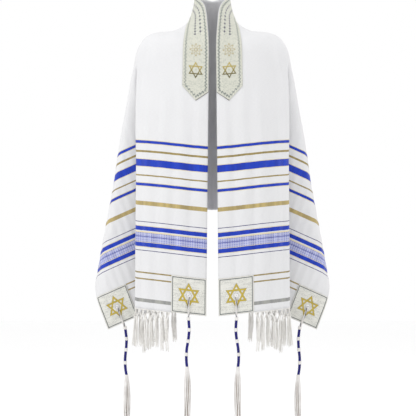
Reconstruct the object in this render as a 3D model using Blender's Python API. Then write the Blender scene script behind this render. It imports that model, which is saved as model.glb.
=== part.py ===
"""Tallit prayer shawl, worn: a rectangle of cloth over the shoulders, with a neck band, four corner
patches, a knotted fringe at both ends and a corded tassel through the eyelet of each patch.

Cloth places are flat: u runs from the centre of the back to an end, v from the neck edge to the
other long edge. The wearer faces -Y. Lengths are metres. One half is worked out and mirrored."""

import math

import bpy
import numpy as np
from mathutils import Vector, geometry

# The cut of the cloth, and where the point of the shoulder lies on it.
HALF_LENGTH = 0.915
WIDTH = 0.56
TIP_U = 0.25
TIP_V = 0.20
FRONT_DROP = HALF_LENGTH - TIP_U
SIDE_DROP = WIDTH - TIP_V

# Walls, and the gap that parts a piece from the one it is sewn to.
CLOTH_WALL = 0.0016
TRIM_WALL = 0.0010
SEAM_GAP = 0.00035

# The neck band and the corner patches.
BAND_WIDTH = 0.067
BAND_END = ((0.355, 0.0), (0.379, 0.033), (0.346, 0.067))
PATCH = 0.093
EYELET_RADIUS = 0.0045
EYELET_POINTS = 10

# Neck edge, v = 0.
NECK_EDGE = (
    # u, x, y, z
    (0.000, 0.000, 0.047, 0.010),
    (0.036, -0.031, 0.032, 0.018),
    (0.071, -0.043, 0.000, 0.020),
    (0.104, -0.035, -0.031, 0.010),
    (0.136, -0.021, -0.054, -0.007),
    (0.192, -0.012, -0.076, -0.062),
    (0.250, -0.009, -0.092, -0.1245),
)
# Across the front of the shoulder, u = TIP_U, from the neck edge to the point of the shoulder.
SHOULDER_FRONT = (
    # v, x, y, z
    (0.00, -0.009, -0.092, -0.1245),
    (0.05, -0.0575, -0.088, -0.1205),
    (0.10, -0.106, -0.077, -0.1150),
    (0.15, -0.153, -0.056, -0.1100),
    (0.20, -0.192, -0.020, -0.1070),
)
# Across the shoulder blade, v = TIP_V, from the middle of the back to the same point.
SHOULDER_BACK = (
    # u, x, y, z
    (0.00, 0.000, 0.104, -0.165),
    (0.06, -0.058, 0.104, -0.160),
    (0.12, -0.112, 0.088, -0.145),
    (0.18, -0.162, 0.050, -0.127),
    (0.25, -0.192, -0.020, -0.107),
)
# Down the middle of the back, u = 0, from the neck edge.
BACK_MIDDLE = (
    # v, x, y, z
    (0.00, 0.000, 0.047, 0.010),
    (0.05, 0.000, 0.068, -0.034),
    (0.10, 0.000, 0.088, -0.079),
    (0.15, 0.000, 0.100, -0.123),
    (0.20, 0.000, 0.104, -0.165),
)
# Hem of the front, u = HALF_LENGTH, from the front edge to the fold in line with the shoulder.
FRONT_HEM = (
    # v, x, y, z
    (0.00, -0.0155, -0.122, -0.7895),
    (0.05, -0.0630, -0.127, -0.7840),
    (0.10, -0.1100, -0.122, -0.7785),
    (0.15, -0.1540, -0.106, -0.7740),
    (0.20, -0.1915, -0.083, -0.7705),
)
# Lower edge of the back, v = WIDTH, as far as the last fold of the side.
BACK_HEM = (
    # u, x, y, z
    (0.000, 0.000, 0.114, -0.525),
    (0.045, -0.036, 0.130, -0.522),
    (0.090, -0.071, 0.110, -0.516),
    (0.135, -0.106, 0.132, -0.508),
    (0.180, -0.139, 0.112, -0.498),
)
SHOULDER_LIFT = 0.44

# The side hangs in folds that fan out from the point of the shoulder. Seen from above, for each
# metre that they hang: 0 degrees heads away from the wearer's side, 90 to the back, 180 inwards.
FRONT_HEADING = 31.5
SIDE_FOLDS = (
    # heading, straight length, radius of the turn into it
    (177.0, 0.115, 0.012),
    (4.0, 0.245, 0.032),
    (97.0, 0.100, 0.055),
    (178.0, 0.172, 0.032),
    (3.0, 0.192, 0.028),
    (176.0, 0.218, 0.028),
)
SIDE_TAKE_UP = 0.04
FOLDS_START = 0.025
FOLDS_FULL = 0.10

# Fringe of both ends, between the patches.
BUNDLES = 24
FRINGE_MARGIN = 0.013
STRIP_HEIGHT = 0.005
STRIP_WALL = 0.0014
STEM_WIDTH = 0.0052
STEM_SPLIT = 0.0008
STEM = (
    # distance below the strip, width, depth, split
    (0.0120, 0.0042, 0.0024, 0.0008),
    (0.0155, 0.0074, 0.0060, 0.0010),
    (0.0215, 0.0074, 0.0060, 0.0012),
    (0.0245, 0.0052, 0.0032, 0.0014),
)
STRAND = (
    # distance below the strip, distance from the middle of the bundle, thickness
    (0.0550, 0.0030, 0.0022),
    (0.0990, 0.0040, 0.0018),
)

# Corded tassels: a loop through the eyelet, knots with windings between them, and eight strands.
LOOP_RADIUS = 0.0016
LOOP_FRONT = 0.0049
LOOP_BACK = 0.0034
FIRST_KNOT = 0.0105
CORD_ROWS = (
    # distance below the first knot, radius
    (-0.0048, 0.0026),
    (-0.0030, 0.0046),
    (0.0030, 0.0046),
    (0.0050, 0.0031),
    (0.0230, 0.0031),
    (0.0250, 0.0046),
    (0.0305, 0.0046),
    (0.0325, 0.0030),
    (0.0510, 0.0030),
    (0.0530, 0.0046),
    (0.0585, 0.0046),
    (0.0605, 0.0030),
    (0.0840, 0.0030),
    (0.0860, 0.0046),
    (0.0915, 0.0046),
    (0.0935, 0.0030),
    (0.1180, 0.0030),
    (0.1200, 0.0048),
    (0.1270, 0.0048),
)
TASSEL_LENGTH = 0.135
TASSEL_SPREAD = 2.3
TASSEL_STRAND = 0.0024
CORD_LEAN = {"inner": (-0.030, -0.010), "outer": (0.030, -0.010)}


def smooth(x):
    x = np.clip(x, 0.0, 1.0)
    return x * x * (3.0 - 2.0 * x)


def along(table, at):
    """Points of a smooth curve through the rows of a table, whose first column is the place."""
    rows = np.array(table)
    place = rows[:, 0]
    slope = np.gradient(rows[:, 1:], place, axis=0, edge_order=2)
    at = np.asarray(at, float)
    i = np.clip(np.searchsorted(place, at, side="right") - 1, 0, len(place) - 2)
    span = (place[i + 1] - place[i])[..., None]
    t = (at - place[i])[..., None] / span
    h00 = 2 * t**3 - 3 * t**2 + 1
    h10 = t**3 - 2 * t**2 + t
    h01 = 3 * t**2 - 2 * t**3
    h11 = t**3 - t**2
    start, end = rows[i, 1:], rows[i + 1, 1:]
    return h00 * start + h10 * span * slope[i] + h01 * end + h11 * span * slope[i + 1]


POINT_OF_SHOULDER = np.array(SHOULDER_FRONT[-1][1:])
FOLD_HEM = np.array(FRONT_HEM[-1][1:])
FRONT_FOLD = (FOLD_HEM - POINT_OF_SHOULDER) / np.linalg.norm(FOLD_HEM - POINT_OF_SHOULDER)


def fold_path():
    """The side's folds from above, as rows of angle on the cloth, x and y."""
    heading = math.radians(FRONT_HEADING)
    x, y = FRONT_FOLD[0], FRONT_FOLD[1]
    angle = 0.0
    rows = [(angle, x, y)]
    for degrees, straight, radius in SIDE_FOLDS:
        target = math.radians(degrees)
        steps = max(2, math.ceil(abs(target - heading) / math.radians(24)))
        turn = (target - heading) / steps
        chord = 2 * radius * math.sin(abs(turn) / 2)
        for _ in range(steps):
            middle = heading + turn / 2
            x -= chord * math.cos(middle)
            y += chord * math.sin(middle)
            heading += turn
            angle += radius * abs(turn)
            rows.append((angle, x, y))
        pieces = max(1, math.ceil(straight / 0.11))
        for _ in range(pieces):
            x -= straight / pieces * math.cos(heading)
            y += straight / pieces * math.sin(heading)
            angle += straight / pieces
            rows.append((angle, x, y))
    rows = np.array(rows)
    rows[:, 0] *= math.pi / 2 / rows[-1, 0]
    return rows


FOLD_PATH = fold_path()


def hang_direction(angle, drop):
    """Unit direction in which the side hangs at this angle on the cloth, that far down."""
    t = angle / (math.pi / 2)
    x = np.interp(angle, FOLD_PATH[:, 0], FOLD_PATH[:, 1])
    y = np.interp(angle, FOLD_PATH[:, 0], FOLD_PATH[:, 2])
    first, last = FOLD_PATH[0, 1:], FOLD_PATH[-1, 1:]
    round_x = (1 - t) ** 2 * first[0] - 2 * t * (1 - t) * 0.34 + t**2 * last[0]
    round_y = (1 - t) ** 2 * first[1] + 2 * t * (1 - t) * 0.10 + t**2 * last[1]
    folded = smooth((drop - FOLDS_START) / (FOLDS_FULL - FOLDS_START))
    x = round_x + (x - round_x) * folded
    y = round_y + (y - round_y) * folded
    lean = np.hypot(x, y)
    scale = np.sinc(lean / math.pi)
    return np.stack([x * scale, y * scale, -np.cos(lean)], axis=-1)


def shoulder_point(u, v):
    """The part over the shoulder, between the neck edge and the point of the shoulder."""
    a = np.clip(u / TIP_U, 0.0, 1.0)[..., None]
    b = np.clip(v / TIP_V, 0.0, 1.0)[..., None]
    neck = along(NECK_EDGE, np.clip(u, 0.0, TIP_U))
    blade = along(SHOULDER_BACK, np.clip(u, 0.0, TIP_U))
    middle = along(BACK_MIDDLE, np.clip(v, 0.0, TIP_V))
    front = along(SHOULDER_FRONT, np.clip(v, 0.0, TIP_V))
    corners = (
        (1 - a) * (1 - b) * np.array(NECK_EDGE[0][1:])
        + a * (1 - b) * np.array(NECK_EDGE[-1][1:])
        + (1 - a) * b * np.array(SHOULDER_BACK[0][1:])
        + a * b * POINT_OF_SHOULDER
    )
    point = (1 - b) * neck + b * blade + (1 - a) * middle + a * front - corners
    lift = SHOULDER_LIFT * np.sqrt((1 - a) * (1 - b)) * a**2 * b**2
    return point + lift * np.array([0.0, 0.0, 1.0])


def back_hem_point(u):
    """Lower edge of the back. It meets the side's last fold at the shoulder's place."""
    corner = POINT_OF_SHOULDER + SIDE_DROP * hang_direction(
        np.array([math.pi / 2]), np.array([SIDE_DROP])
    )
    rows = np.array(BACK_HEM + ((TIP_U, *corner[0]),))
    return along(rows, u)


def plain_point(u, v):
    """The hanging cloth before its shoulder is rounded: four parts that meet at the shoulder."""
    side = np.sign(u) + (u == 0)
    u = np.abs(u)
    below_edge = v < 0
    v = np.abs(v)
    down_front = np.maximum(u - TIP_U, 0.0)
    down_back = np.maximum(v - TIP_V, 0.0)
    base = shoulder_point(np.minimum(u, TIP_U), np.minimum(v, TIP_V))
    front_v = np.clip(v, 0.0, TIP_V)
    front = along(FRONT_HEM, front_v) - along(SHOULDER_FRONT, front_v)
    back_u = np.clip(u, 0.0, TIP_U)
    back = back_hem_point(back_u) - along(SHOULDER_BACK, back_u)
    drop = np.hypot(down_front, down_back)
    angle = np.arctan2(down_back, down_front)
    take_up = 1 - SIDE_TAKE_UP * smooth(angle / 0.3) * smooth((math.pi / 2 - angle) / 0.5)
    fan = drop[..., None] * take_up[..., None] * hang_direction(angle, drop)
    in_fan = ((down_front > 0) & (down_back > 0))[..., None]
    hung = np.where(
        in_fan,
        fan,
        (down_front / FRONT_DROP)[..., None] * front + (down_back / SIDE_DROP)[..., None] * back,
    )
    point = base + hung
    if below_edge.any():
        edge = plain_point(np.where(below_edge, u, 0.0), np.zeros_like(v))
        point = np.where(below_edge[..., None], 2 * edge - point, point)
    return point * np.stack([side, np.ones_like(side), np.ones_like(side)], axis=-1)


def cloth_point(u, v):
    """Middle of the cloth's wall at a flat place, for the half on the wearer's right."""
    u = np.asarray(u, float)
    v = np.asarray(v, float)
    drop = np.hypot(np.maximum(u - TIP_U, 0.0), np.maximum(v - TIP_V, 0.0))
    reach = 0.021 * (1 - smooth((drop - 0.01) / 0.11)) * smooth((v + 0.02) / 0.05)
    total = np.zeros(u.shape + (3,))
    weight = 0.0
    for i in range(-2, 3):
        for j in range(-2, 3):
            share = math.exp(-0.45 * (i * i + j * j))
            total = total + share * plain_point(u + 0.5 * i * reach, v + 0.5 * j * reach)
            weight += share
    return total / weight


def cloth_frame(u, v):
    """Middle point, outward normal and direction of growing u."""
    step = 0.0004
    u = np.asarray(u, float)
    v = np.asarray(v, float)
    point = cloth_point(u, v)
    down = cloth_point(u + step, v) - cloth_point(u - step, v)
    across = cloth_point(u, v + step) - cloth_point(u, v - step)
    normal = np.cross(across, down)
    normal /= np.linalg.norm(normal, axis=-1)[..., None]
    down /= np.linalg.norm(down, axis=-1)[..., None]
    normal[u == 0, 0] = 0.0
    return point, normal, down


def spread(low, high, most):
    return np.linspace(low, high, max(2, math.ceil((high - low) / most) + 1))


def flat_layout():
    """Flat points of half the cloth, and the lines that its triangles keep to."""
    points, lines = [], []

    def place(u, v):
        for index, (x, y) in enumerate(points):
            if abs(x - u) < 0.0012 and abs(y - v) < 0.0012:
                return index
        points.append((float(u), float(v)))
        return len(points) - 1

    def line(places, closed=False):
        found = [place(u, v) for u, v in places]
        lines.extend(zip(found, found[1:] + found[:1] if closed else found[1:]))

    rays = FOLD_PATH[1:-1, 0]
    front_rays = rays[np.tan(rays) < SIDE_DROP / FRONT_DROP - 0.01]
    side_rays = rays[np.tan(rays) > SIDE_DROP / FRONT_DROP + 0.02]
    front_v = spread(0.0, TIP_V, 0.024)
    back_u = spread(0.0, TIP_U, 0.024)
    patch_low, patch_high = PATCH, WIDTH - PATCH
    patch_top = HALF_LENGTH - PATCH
    hem = sorted({*front_v, *(TIP_V + FRONT_DROP * np.tan(front_rays)), patch_low, patch_high, WIDTH})
    from_patch = [min(abs(v - patch_low), abs(v - patch_high)) for v in hem]
    line([(HALF_LENGTH, v) for v, gap in zip(hem, from_patch) if gap == 0.0 or gap > 0.003])
    selvedge = sorted({*back_u, *(TIP_U + SIDE_DROP / np.tan(side_rays)), patch_top, HALF_LENGTH})
    line([(u, WIDTH) for u in selvedge if u == patch_top or abs(u - patch_top) > 0.004])
    rows = np.concatenate([[0.018, 0.04, 0.066], spread(0.095, FRONT_DROP, 0.048)])
    line([(u, 0.0) for u in (*spread(0.0, TIP_U, 0.018), *(TIP_U + rows))])
    back_rows = TIP_V + rows[rows < SIDE_DROP - 0.02]
    line([(0.0, v) for v in (*spread(0.0, TIP_V, 0.02), *back_rows, WIDTH)])
    inner, outer = spread(0.0, patch_low, 0.024), spread(patch_high, WIDTH, 0.024)
    line([(patch_top, v) for v in inner])
    line([(u, patch_low) for u in spread(patch_top, HALF_LENGTH, 0.024)])
    line([(patch_top, v) for v in outer])
    line([(u, patch_high) for u in spread(patch_top, HALF_LENGTH, 0.024)])
    line([(u, BAND_WIDTH) for u in spread(0.0, BAND_END[2][0], 0.018)])
    line(BAND_END)
    for v in (PATCH / 2, WIDTH - PATCH / 2):
        turn = [2 * math.pi * i / EYELET_POINTS for i in range(EYELET_POINTS)]
        centre = HALF_LENGTH - PATCH / 2
        line(
            [(centre + EYELET_RADIUS * math.cos(t), v + EYELET_RADIUS * math.sin(t)) for t in turn],
            closed=True,
        )
    kept = np.array(points)
    for u in spread(0.0, TIP_U, 0.018):
        for v in spread(0.0, TIP_V, 0.02):
            if np.min(np.hypot(*(kept - (u, v)).T)) > 0.009:
                place(u, v)
    for row in rows:
        fan = rays if row > 0.09 else rays[::3]
        reach = np.minimum(FRONT_DROP / np.cos(fan), SIDE_DROP / np.sin(fan))
        inside = [(TIP_U + row, v) for v in front_v]
        for t in fan[reach > row + 0.014]:
            inside.append((TIP_U + row * math.cos(t), TIP_V + row * math.sin(t)))
        inside += [(u, TIP_V + row) for u in back_u]
        for u, v in inside:
            if u < HALF_LENGTH - 0.012 and v < WIDTH - 0.012:
                near = np.hypot(*(kept - (u, v)).T)
                if np.min(near) > (0.009 if row > 0.09 else 0.006) or np.min(near) < 0.0012:
                    place(u, v)
    return points, lines


def flat_mesh():
    """Half the cloth as flat triangles, its eyelets left open."""
    points, lines = flat_layout()
    found = geometry.delaunay_2d_cdt([Vector(p) for p in points], lines, [], 0, 1e-7, True)
    flat = np.array([(p.x, p.y) for p in found[0]])
    faces = np.array([tuple(face) for face in found[2]])
    centre = flat[faces].mean(axis=1)
    keep = np.ones(len(faces), bool)
    for v in (PATCH / 2, WIDTH - PATCH / 2):
        keep &= np.hypot(centre[:, 0] - HALF_LENGTH + PATCH / 2, centre[:, 1] - v) > EYELET_RADIUS * 0.9
    corners = flat[faces]
    side_a, side_b = corners[:, 1] - corners[:, 0], corners[:, 2] - corners[:, 0]
    area = side_a[:, 0] * side_b[:, 1] - side_a[:, 1] * side_b[:, 0]
    keep &= np.abs(area) > 1e-9
    faces[area > 0] = faces[area > 0][:, ::-1]
    return flat, faces[keep]


def add_object(name, points, faces, colour, roughness=0.85):
    mesh = bpy.data.meshes.new(name)
    mesh.from_pydata([tuple(p) for p in points], [], [tuple(int(i) for i in f) for f in faces])
    mesh.validate()
    mesh.update()
    obj = bpy.data.objects.new(name, mesh)
    bpy.context.scene.collection.objects.link(obj)
    material = bpy.data.materials.new(name)
    material.use_nodes = True
    shader = material.node_tree.nodes["Principled BSDF"]
    shader.inputs["Base Color"].default_value = (*colour, 1.0)
    shader.inputs["Roughness"].default_value = roughness
    mesh.materials.append(material)
    return obj


def mirrored(points, faces):
    return points * np.array([-1.0, 1.0, 1.0]), faces[:, ::-1]


def walled(point, normal, faces, low, high):
    """A closed wall between two distances from the middle of the cloth."""
    used = np.unique(faces)
    index = np.full(len(point), -1)
    index[used] = np.arange(len(used))
    faces = index[faces]
    point, normal = point[used], normal[used]
    count = len(used)
    ends = np.concatenate([faces[:, [0, 1]], faces[:, [1, 2]], faces[:, [2, 0]]])
    twins = {(int(b), int(a)) for a, b in ends}
    rim = [(int(a), int(b)) for a, b in ends if (int(a), int(b)) not in twins]
    sides = [(b, a, a + count) for a, b in rim] + [(b, a + count, b + count) for a, b in rim]
    points = np.concatenate([point + high * normal, point + low * normal])
    return points, np.concatenate([faces, faces[:, ::-1] + count, np.array(sides)])


def joined_halves(point, normal, faces, flat):
    """Both halves of the cloth as one surface, sharing the points of the middle of the back."""
    other = np.arange(len(point)) + len(point)
    other[flat[:, 0] < 1e-6] = np.flatnonzero(flat[:, 0] < 1e-6)
    turned, turned_faces = mirrored(normal, other[faces])
    return (
        np.concatenate([point, point * np.array([-1.0, 1.0, 1.0])]),
        np.concatenate([normal, turned]),
        np.concatenate([faces, turned_faces]),
    )


def inside_band(centre):
    """Whether flat places lie on the neck band."""
    (inner_u, _), (point_u, point_v), (outer_u, outer_v) = BAND_END
    end = np.interp(centre[:, 1], [0.0, point_v, outer_v], [inner_u, point_u, outer_u])
    return (centre[:, 1] < BAND_WIDTH) & (centre[:, 0] < end)


def build_fringe(hem, patch_side):
    """A strip parted from the hem, whose bundles run down from it into knots and pairs of strands.

    hem holds (v, point, normal, down) for the cloth's own points along the hem."""
    v, point, normal, down = hem
    first, last = PATCH + FRINGE_MARGIN, WIDTH - PATCH - FRINGE_MARGIN
    centres = np.linspace(first, last, BUNDLES)
    half, split = STEM_WIDTH / 2, STEM_SPLIT / 2
    stations = [first - 0.009]
    for centre in centres:
        stations += [centre - half, centre - split, centre + split, centre + half]
    stations.append(last + 0.009)
    stations = np.array(stations)

    def on_hem(values):
        return np.stack([np.interp(stations, v, values[:, k]) for k in range(3)], axis=1)

    at, out, below = on_hem(point), on_hem(normal), on_hem(down)
    out /= np.linalg.norm(out, axis=1)[:, None]
    below /= np.linalg.norm(below, axis=1)[:, None]
    top, bottom = at + SEAM_GAP * below, at + (SEAM_GAP + STRIP_HEIGHT) * below
    reach = STRIP_WALL / 2 * out
    rows = zip(top + reach, top - reach, bottom - reach, bottom + reach)
    points = [tuple(p) for row in rows for p in row]
    faces = [(0, 1, 2, 3)]
    count = len(stations)
    for i in range(count - 1):
        a, b = 4 * i, 4 * i + 4
        faces += [(a + 1, a, b, b + 1), (a + 2, a + 1, b + 1, b + 2), (a, a + 3, b + 3, b)]
        if i % 4 == 0:
            faces.append((a + 3, a + 2, b + 2, b + 3))
    end = 4 * (count - 1)
    faces.append((end + 3, end + 2, end + 1, end))
    for bundle in range(BUNDLES):
        station = 1 + 4 * bundle
        columns = range(station, station + 4)
        ring = [4 * s + 3 for s in columns] + [4 * s + 2 for s in reversed(columns)]
        middle = (bottom[station + 1] + bottom[station + 2]) / 2
        sideways = bottom[station + 3] - bottom[station]
        sideways[2] = 0.0
        sideways /= np.linalg.norm(sideways)
        outward = np.cross(sideways, (0.0, 0.0, 1.0))
        outward *= np.sign(outward @ out[station])
        sway = 0.0035 * math.sin(2.4 * bundle + patch_side)
        for distance, width, depth, gap in STEM:
            centre = middle + np.array([0.0, 0.0, -distance]) + sway * distance / 0.1 * sideways
            across = (-width / 2, -gap / 2, gap / 2, width / 2)
            new = [centre + s * sideways + depth / 2 * outward for s in across]
            new += [centre + s * sideways - depth / 2 * outward for s in reversed(across)]
            start = len(points)
            points += [tuple(p) for p in new]
            following = list(range(start, start + 8))
            faces += [
                (ring[(i + 1) % 8], ring[i], following[i], following[(i + 1) % 8]) for i in range(8)
            ]
            ring = following
        faces.append((ring[2], ring[1], ring[6], ring[5]))
        for quad, way in (((0, 1, 6, 7), -1), ((2, 3, 4, 5), 1)):
            above = [ring[i] for i in quad]
            for row, (distance, apart, thick) in enumerate(STRAND):
                lean = 0.0016 * math.sin(1.7 * bundle + 2.1 * way + row)
                centre = middle + np.array([0.0, 0.0, -distance]) + lean * outward
                centre = centre + (way * apart + sway * distance / 0.1) * sideways
                corners = ((-1, 1), (1, 1), (1, -1), (-1, -1))
                new = [centre + thick / 2 * (s * sideways + d * outward) for s, d in corners]
                start = len(points)
                points += [tuple(p) for p in new]
                following = list(range(start, start + 4))
                faces += [
                    (above[(i + 1) % 4], above[i], following[i], following[(i + 1) % 4])
                    for i in range(4)
                ]
                above = following
            faces.append(tuple(reversed(above)))
    return points, faces


def square_ring(centre, side_a, side_b, radius, roundness):
    """Twelve points round a cord: a circle at roundness 1, the outline of a 3 by 3 grid at 0."""
    third = 0.75 * radius
    grid = [-third, -third / 3, third / 3, third]
    outline = [(a, -third) for a in grid] + [(third, b) for b in grid[1:]]
    outline += [(a, third) for a in grid[2::-1]] + [(-third, b) for b in grid[2:0:-1]]
    ring = []
    for a, b in outline:
        length = math.hypot(a, b)
        a = a * (roundness * radius / length + 1 - roundness)
        b = b * (roundness * radius / length + 1 - roundness)
        ring.append(centre + a * side_a + b * side_b)
    return ring


def tube(path, radius, sides):
    """A closed round tube along a path of points in one plane."""
    path = np.array(path)
    plane = np.cross(path[1] - path[0], path[len(path) // 2] - path[0])
    plane /= np.linalg.norm(plane)
    points, faces = [], []
    for i, centre in enumerate(path):
        along_path = path[min(i + 1, len(path) - 1)] - path[max(i - 1, 0)]
        along_path /= np.linalg.norm(along_path)
        across = np.cross(plane, along_path)
        for k in range(sides):
            turn = 2 * math.pi * k / sides
            points.append(tuple(centre + radius * (math.cos(turn) * across + math.sin(turn) * plane)))
    for i in range(len(path) - 1):
        for k in range(sides):
            a, b = i * sides + k, i * sides + (k + 1) % sides
            faces.append((b, a, a + sides, b + sides))
    faces.append(tuple(range(sides)))
    last = (len(path) - 1) * sides
    faces.append(tuple(last + k for k in reversed(range(sides))))
    return points, faces


def build_cord(v, lean):
    """Loop through the eyelet, wound cord and tassel: (cord points, faces, loop points, faces)."""
    centre_u = HALF_LENGTH - PATCH / 2
    point, normal, down = (value[0] for value in cloth_frame(np.array([centre_u]), np.array([v])))
    knot = point + (PATCH / 2 + FIRST_KNOT) * down
    side_a = np.array([1.0, 0.0, 0.0])
    side_b = np.array([0.0, 1.0, 0.0])
    way = np.array([lean[0], lean[1], -1.0])
    way /= np.linalg.norm(way)
    points, faces, ring = [], [], []
    for row, (distance, radius) in enumerate(CORD_ROWS):
        roundness = 0.0 if row == len(CORD_ROWS) - 1 else 1.0
        new = square_ring(knot + distance * way, side_a, side_b, radius, roundness)
        start = len(points)
        points += [tuple(p) for p in new]
        following = list(range(start, start + 12))
        if ring:
            faces += [
                (ring[(i + 1) % 12], ring[i], following[i], following[(i + 1) % 12])
                for i in range(12)
            ]
        else:
            faces.append(tuple(following))
        ring = following
    base = knot + CORD_ROWS[-1][0] * way
    third = 0.25 * CORD_ROWS[-1][1]
    inner = len(points)
    for a, b in ((-1, -1), (1, -1), (1, 1), (-1, 1)):
        points.append(tuple(base + a * third * side_a + b * third * side_b))
    cells = {
        (-1, -1): (ring[0], ring[1], inner, ring[11]),
        (0, -1): (ring[1], ring[2], inner + 1, inner),
        (1, -1): (ring[2], ring[3], ring[4], inner + 1),
        (1, 0): (inner + 1, ring[4], ring[5], inner + 2),
        (1, 1): (inner + 2, ring[5], ring[6], ring[7]),
        (0, 1): (inner + 3, inner + 2, ring[7], ring[8]),
        (-1, 1): (ring[10], inner + 3, ring[8], ring[9]),
        (-1, 0): (ring[11], inner, inner + 3, ring[10]),
    }
    faces.append((inner + 3, inner + 2, inner + 1, inner))
    for number, ((a, b), above) in enumerate(cells.items()):
        cell = np.mean([points[i] for i in above], axis=0)
        for share in (0.42, 1.0):
            distance = share * TASSEL_LENGTH * (1 - 0.07 * ((number * 5) % 4) / 3)
            offset = (cell - base) * (1 + TASSEL_SPREAD * min(1.0, 1.6 * share))
            centre = base + distance * np.array([0.0, 0.0, -1.0]) + offset
            thick = TASSEL_STRAND / 2
            start = len(points)
            for s, d in ((-1, -1), (1, -1), (1, 1), (-1, 1)):
                points.append(tuple(centre + thick * (s * side_a + d * side_b)))
            following = list(range(start, start + 4))
            faces += [
                (above[(i + 1) % 4], above[i], following[i], following[(i + 1) % 4]) for i in range(4)
            ]
            above = following
        faces.append(tuple(reversed(above)))
    front, back = LOOP_FRONT * normal, -LOOP_BACK * normal
    below = PATCH / 2
    path = [
        knot + 0.0023 * normal,
        point + (below + 0.0030) * down + 0.9 * front,
        point + (below - 0.006) * down + front,
        point + 0.024 * down + 1.1 * front,
        point + 0.005 * down + front,
        point + 0.0018 * down + 0.93 * front,
        point + 0.0001 * down + 0.62 * front,
        point - 0.0003 * down,
        point + 0.0003 * down + 0.70 * back,
        point + 0.0022 * down + 1.0 * back,
        point + 0.0055 * down + 1.1 * back,
        point + 0.024 * down + 1.1 * back,
        point + (below - 0.006) * down + 1.05 * back,
        point + (below + 0.0035) * down + 0.9 * back,
        knot - 0.0023 * normal,
    ]
    loop_points, loop_faces = tube(path, LOOP_RADIUS, 6)
    return points, faces, loop_points, loop_faces


def build_shawl():
    for obj in list(bpy.data.objects):
        bpy.data.objects.remove(obj, do_unlink=True)

    flat, faces = flat_mesh()
    point, normal, down = cloth_frame(flat[:, 0], flat[:, 1])
    centre = flat[faces].mean(axis=1)
    whole_point, whole_normal, whole_faces = joined_halves(point, normal, faces, flat)
    half_wall = CLOTH_WALL / 2
    add_object(
        "shawl_cloth",
        *walled(whole_point, whole_normal, whole_faces, -half_wall, half_wall),
        (0.86, 0.87, 0.88),
    )
    low = half_wall + SEAM_GAP
    high = low + TRIM_WALL
    on_band = inside_band(centre)
    band_faces = whole_faces[np.concatenate([on_band, on_band])]
    add_object(
        "neck_band", *walled(whole_point, whole_normal, band_faces, low, high), (0.80, 0.80, 0.74), 0.6
    )
    below_top = centre[:, 0] > HALF_LENGTH - PATCH
    patches = {
        "inner": below_top & (centre[:, 1] < PATCH),
        "outer": below_top & (centre[:, 1] > WIDTH - PATCH),
    }
    for which, chosen in patches.items():
        points, wall_faces = walled(point, normal, faces[chosen], low, high)
        add_object(f"corner_patch_right_{which}", points, wall_faces, (0.78, 0.79, 0.75), 0.6)
        add_object(
            f"corner_patch_left_{which}", *mirrored(points, wall_faces), (0.78, 0.79, 0.75), 0.6
        )

    on_hem = np.flatnonzero(np.abs(flat[:, 0] - HALF_LENGTH) < 1e-6)
    on_hem = on_hem[np.argsort(flat[on_hem, 1])]
    hem = (flat[on_hem, 1], point[on_hem], normal[on_hem], down[on_hem])
    points, fringe_faces = build_fringe(hem, 0.0)
    turned = [(-x, y, z) for x, y, z in points]
    add_object("fringe_right", points, [face[::-1] for face in fringe_faces], (0.84, 0.83, 0.80))
    add_object("fringe_left", turned, fringe_faces, (0.84, 0.83, 0.80))

    for which, v in (("inner", PATCH / 2), ("outer", WIDTH - PATCH / 2)):
        points, cord_faces, loop_points, loop_faces = build_cord(v, CORD_LEAN[which])
        for hand, sign in (("right", 1), ("left", -1)):
            cord = add_object(
                f"tassel_cord_{hand}_{which}",
                [(sign * x, y, z) for x, y, z in points],
                [face[::sign] for face in cord_faces],
                (0.82, 0.82, 0.82),
            )
            loop = add_object(
                f"cord_loop_{hand}_{which}",
                [(sign * x, y, z) for x, y, z in loop_points],
                [face[::sign] for face in loop_faces],
                (0.82, 0.82, 0.82),
            )
            loop.hide_render = True
            loop.display_type = "WIRE"
            union = cord.modifiers.new("loop", "BOOLEAN")
            union.operation = "UNION"
            union.solver = "EXACT"
            union.object = loop


build_shawl()
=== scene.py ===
# %% [markdown]
# # A tallit prayer shawl, worn
# The shawl is one rectangle of white cloth, 183 by 56 cm, laid over the shoulders and left open at
# the front. A neck band, four corner patches, two knotted fringes and four corded tassels go on it.
# The solids of these pieces are loaded first, as a fixed frame. Everything below is made around them.

# %% Load the frame
import math

import bpy
import numpy as np
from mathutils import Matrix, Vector


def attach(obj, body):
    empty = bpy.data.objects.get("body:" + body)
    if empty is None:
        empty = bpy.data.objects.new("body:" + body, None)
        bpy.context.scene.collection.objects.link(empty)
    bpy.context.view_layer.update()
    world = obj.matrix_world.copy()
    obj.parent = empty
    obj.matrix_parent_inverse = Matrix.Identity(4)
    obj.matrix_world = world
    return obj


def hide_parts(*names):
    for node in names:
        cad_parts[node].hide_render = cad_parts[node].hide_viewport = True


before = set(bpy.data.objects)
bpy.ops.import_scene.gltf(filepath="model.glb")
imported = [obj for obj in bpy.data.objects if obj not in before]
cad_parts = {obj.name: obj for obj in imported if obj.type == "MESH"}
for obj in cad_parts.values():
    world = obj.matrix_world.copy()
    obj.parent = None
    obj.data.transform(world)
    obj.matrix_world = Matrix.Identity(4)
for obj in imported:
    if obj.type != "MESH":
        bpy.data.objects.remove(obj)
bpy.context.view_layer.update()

print("nodes:", ", ".join(sorted(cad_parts)))

# %% [markdown]
# ## Stage, light and camera
# White cloth needs light from many sides, or its folds turn grey. A large soft lamp on each side, one
# above and a pale surround do that. The camera stands at chest height, straight in front, with a long
# lens, so that the shawl is hardly bent by perspective.

# %% Stage, light and camera
PHOTO_WIDTH_M = 1.04
LENS_MM = 180.0
SENSOR_MM = 36.0
VIEW_CENTRE = Vector((-0.0112, -0.10, -0.520))
FLOOR_Z, FLOOR_REACH = -1.135, 6.0


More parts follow.
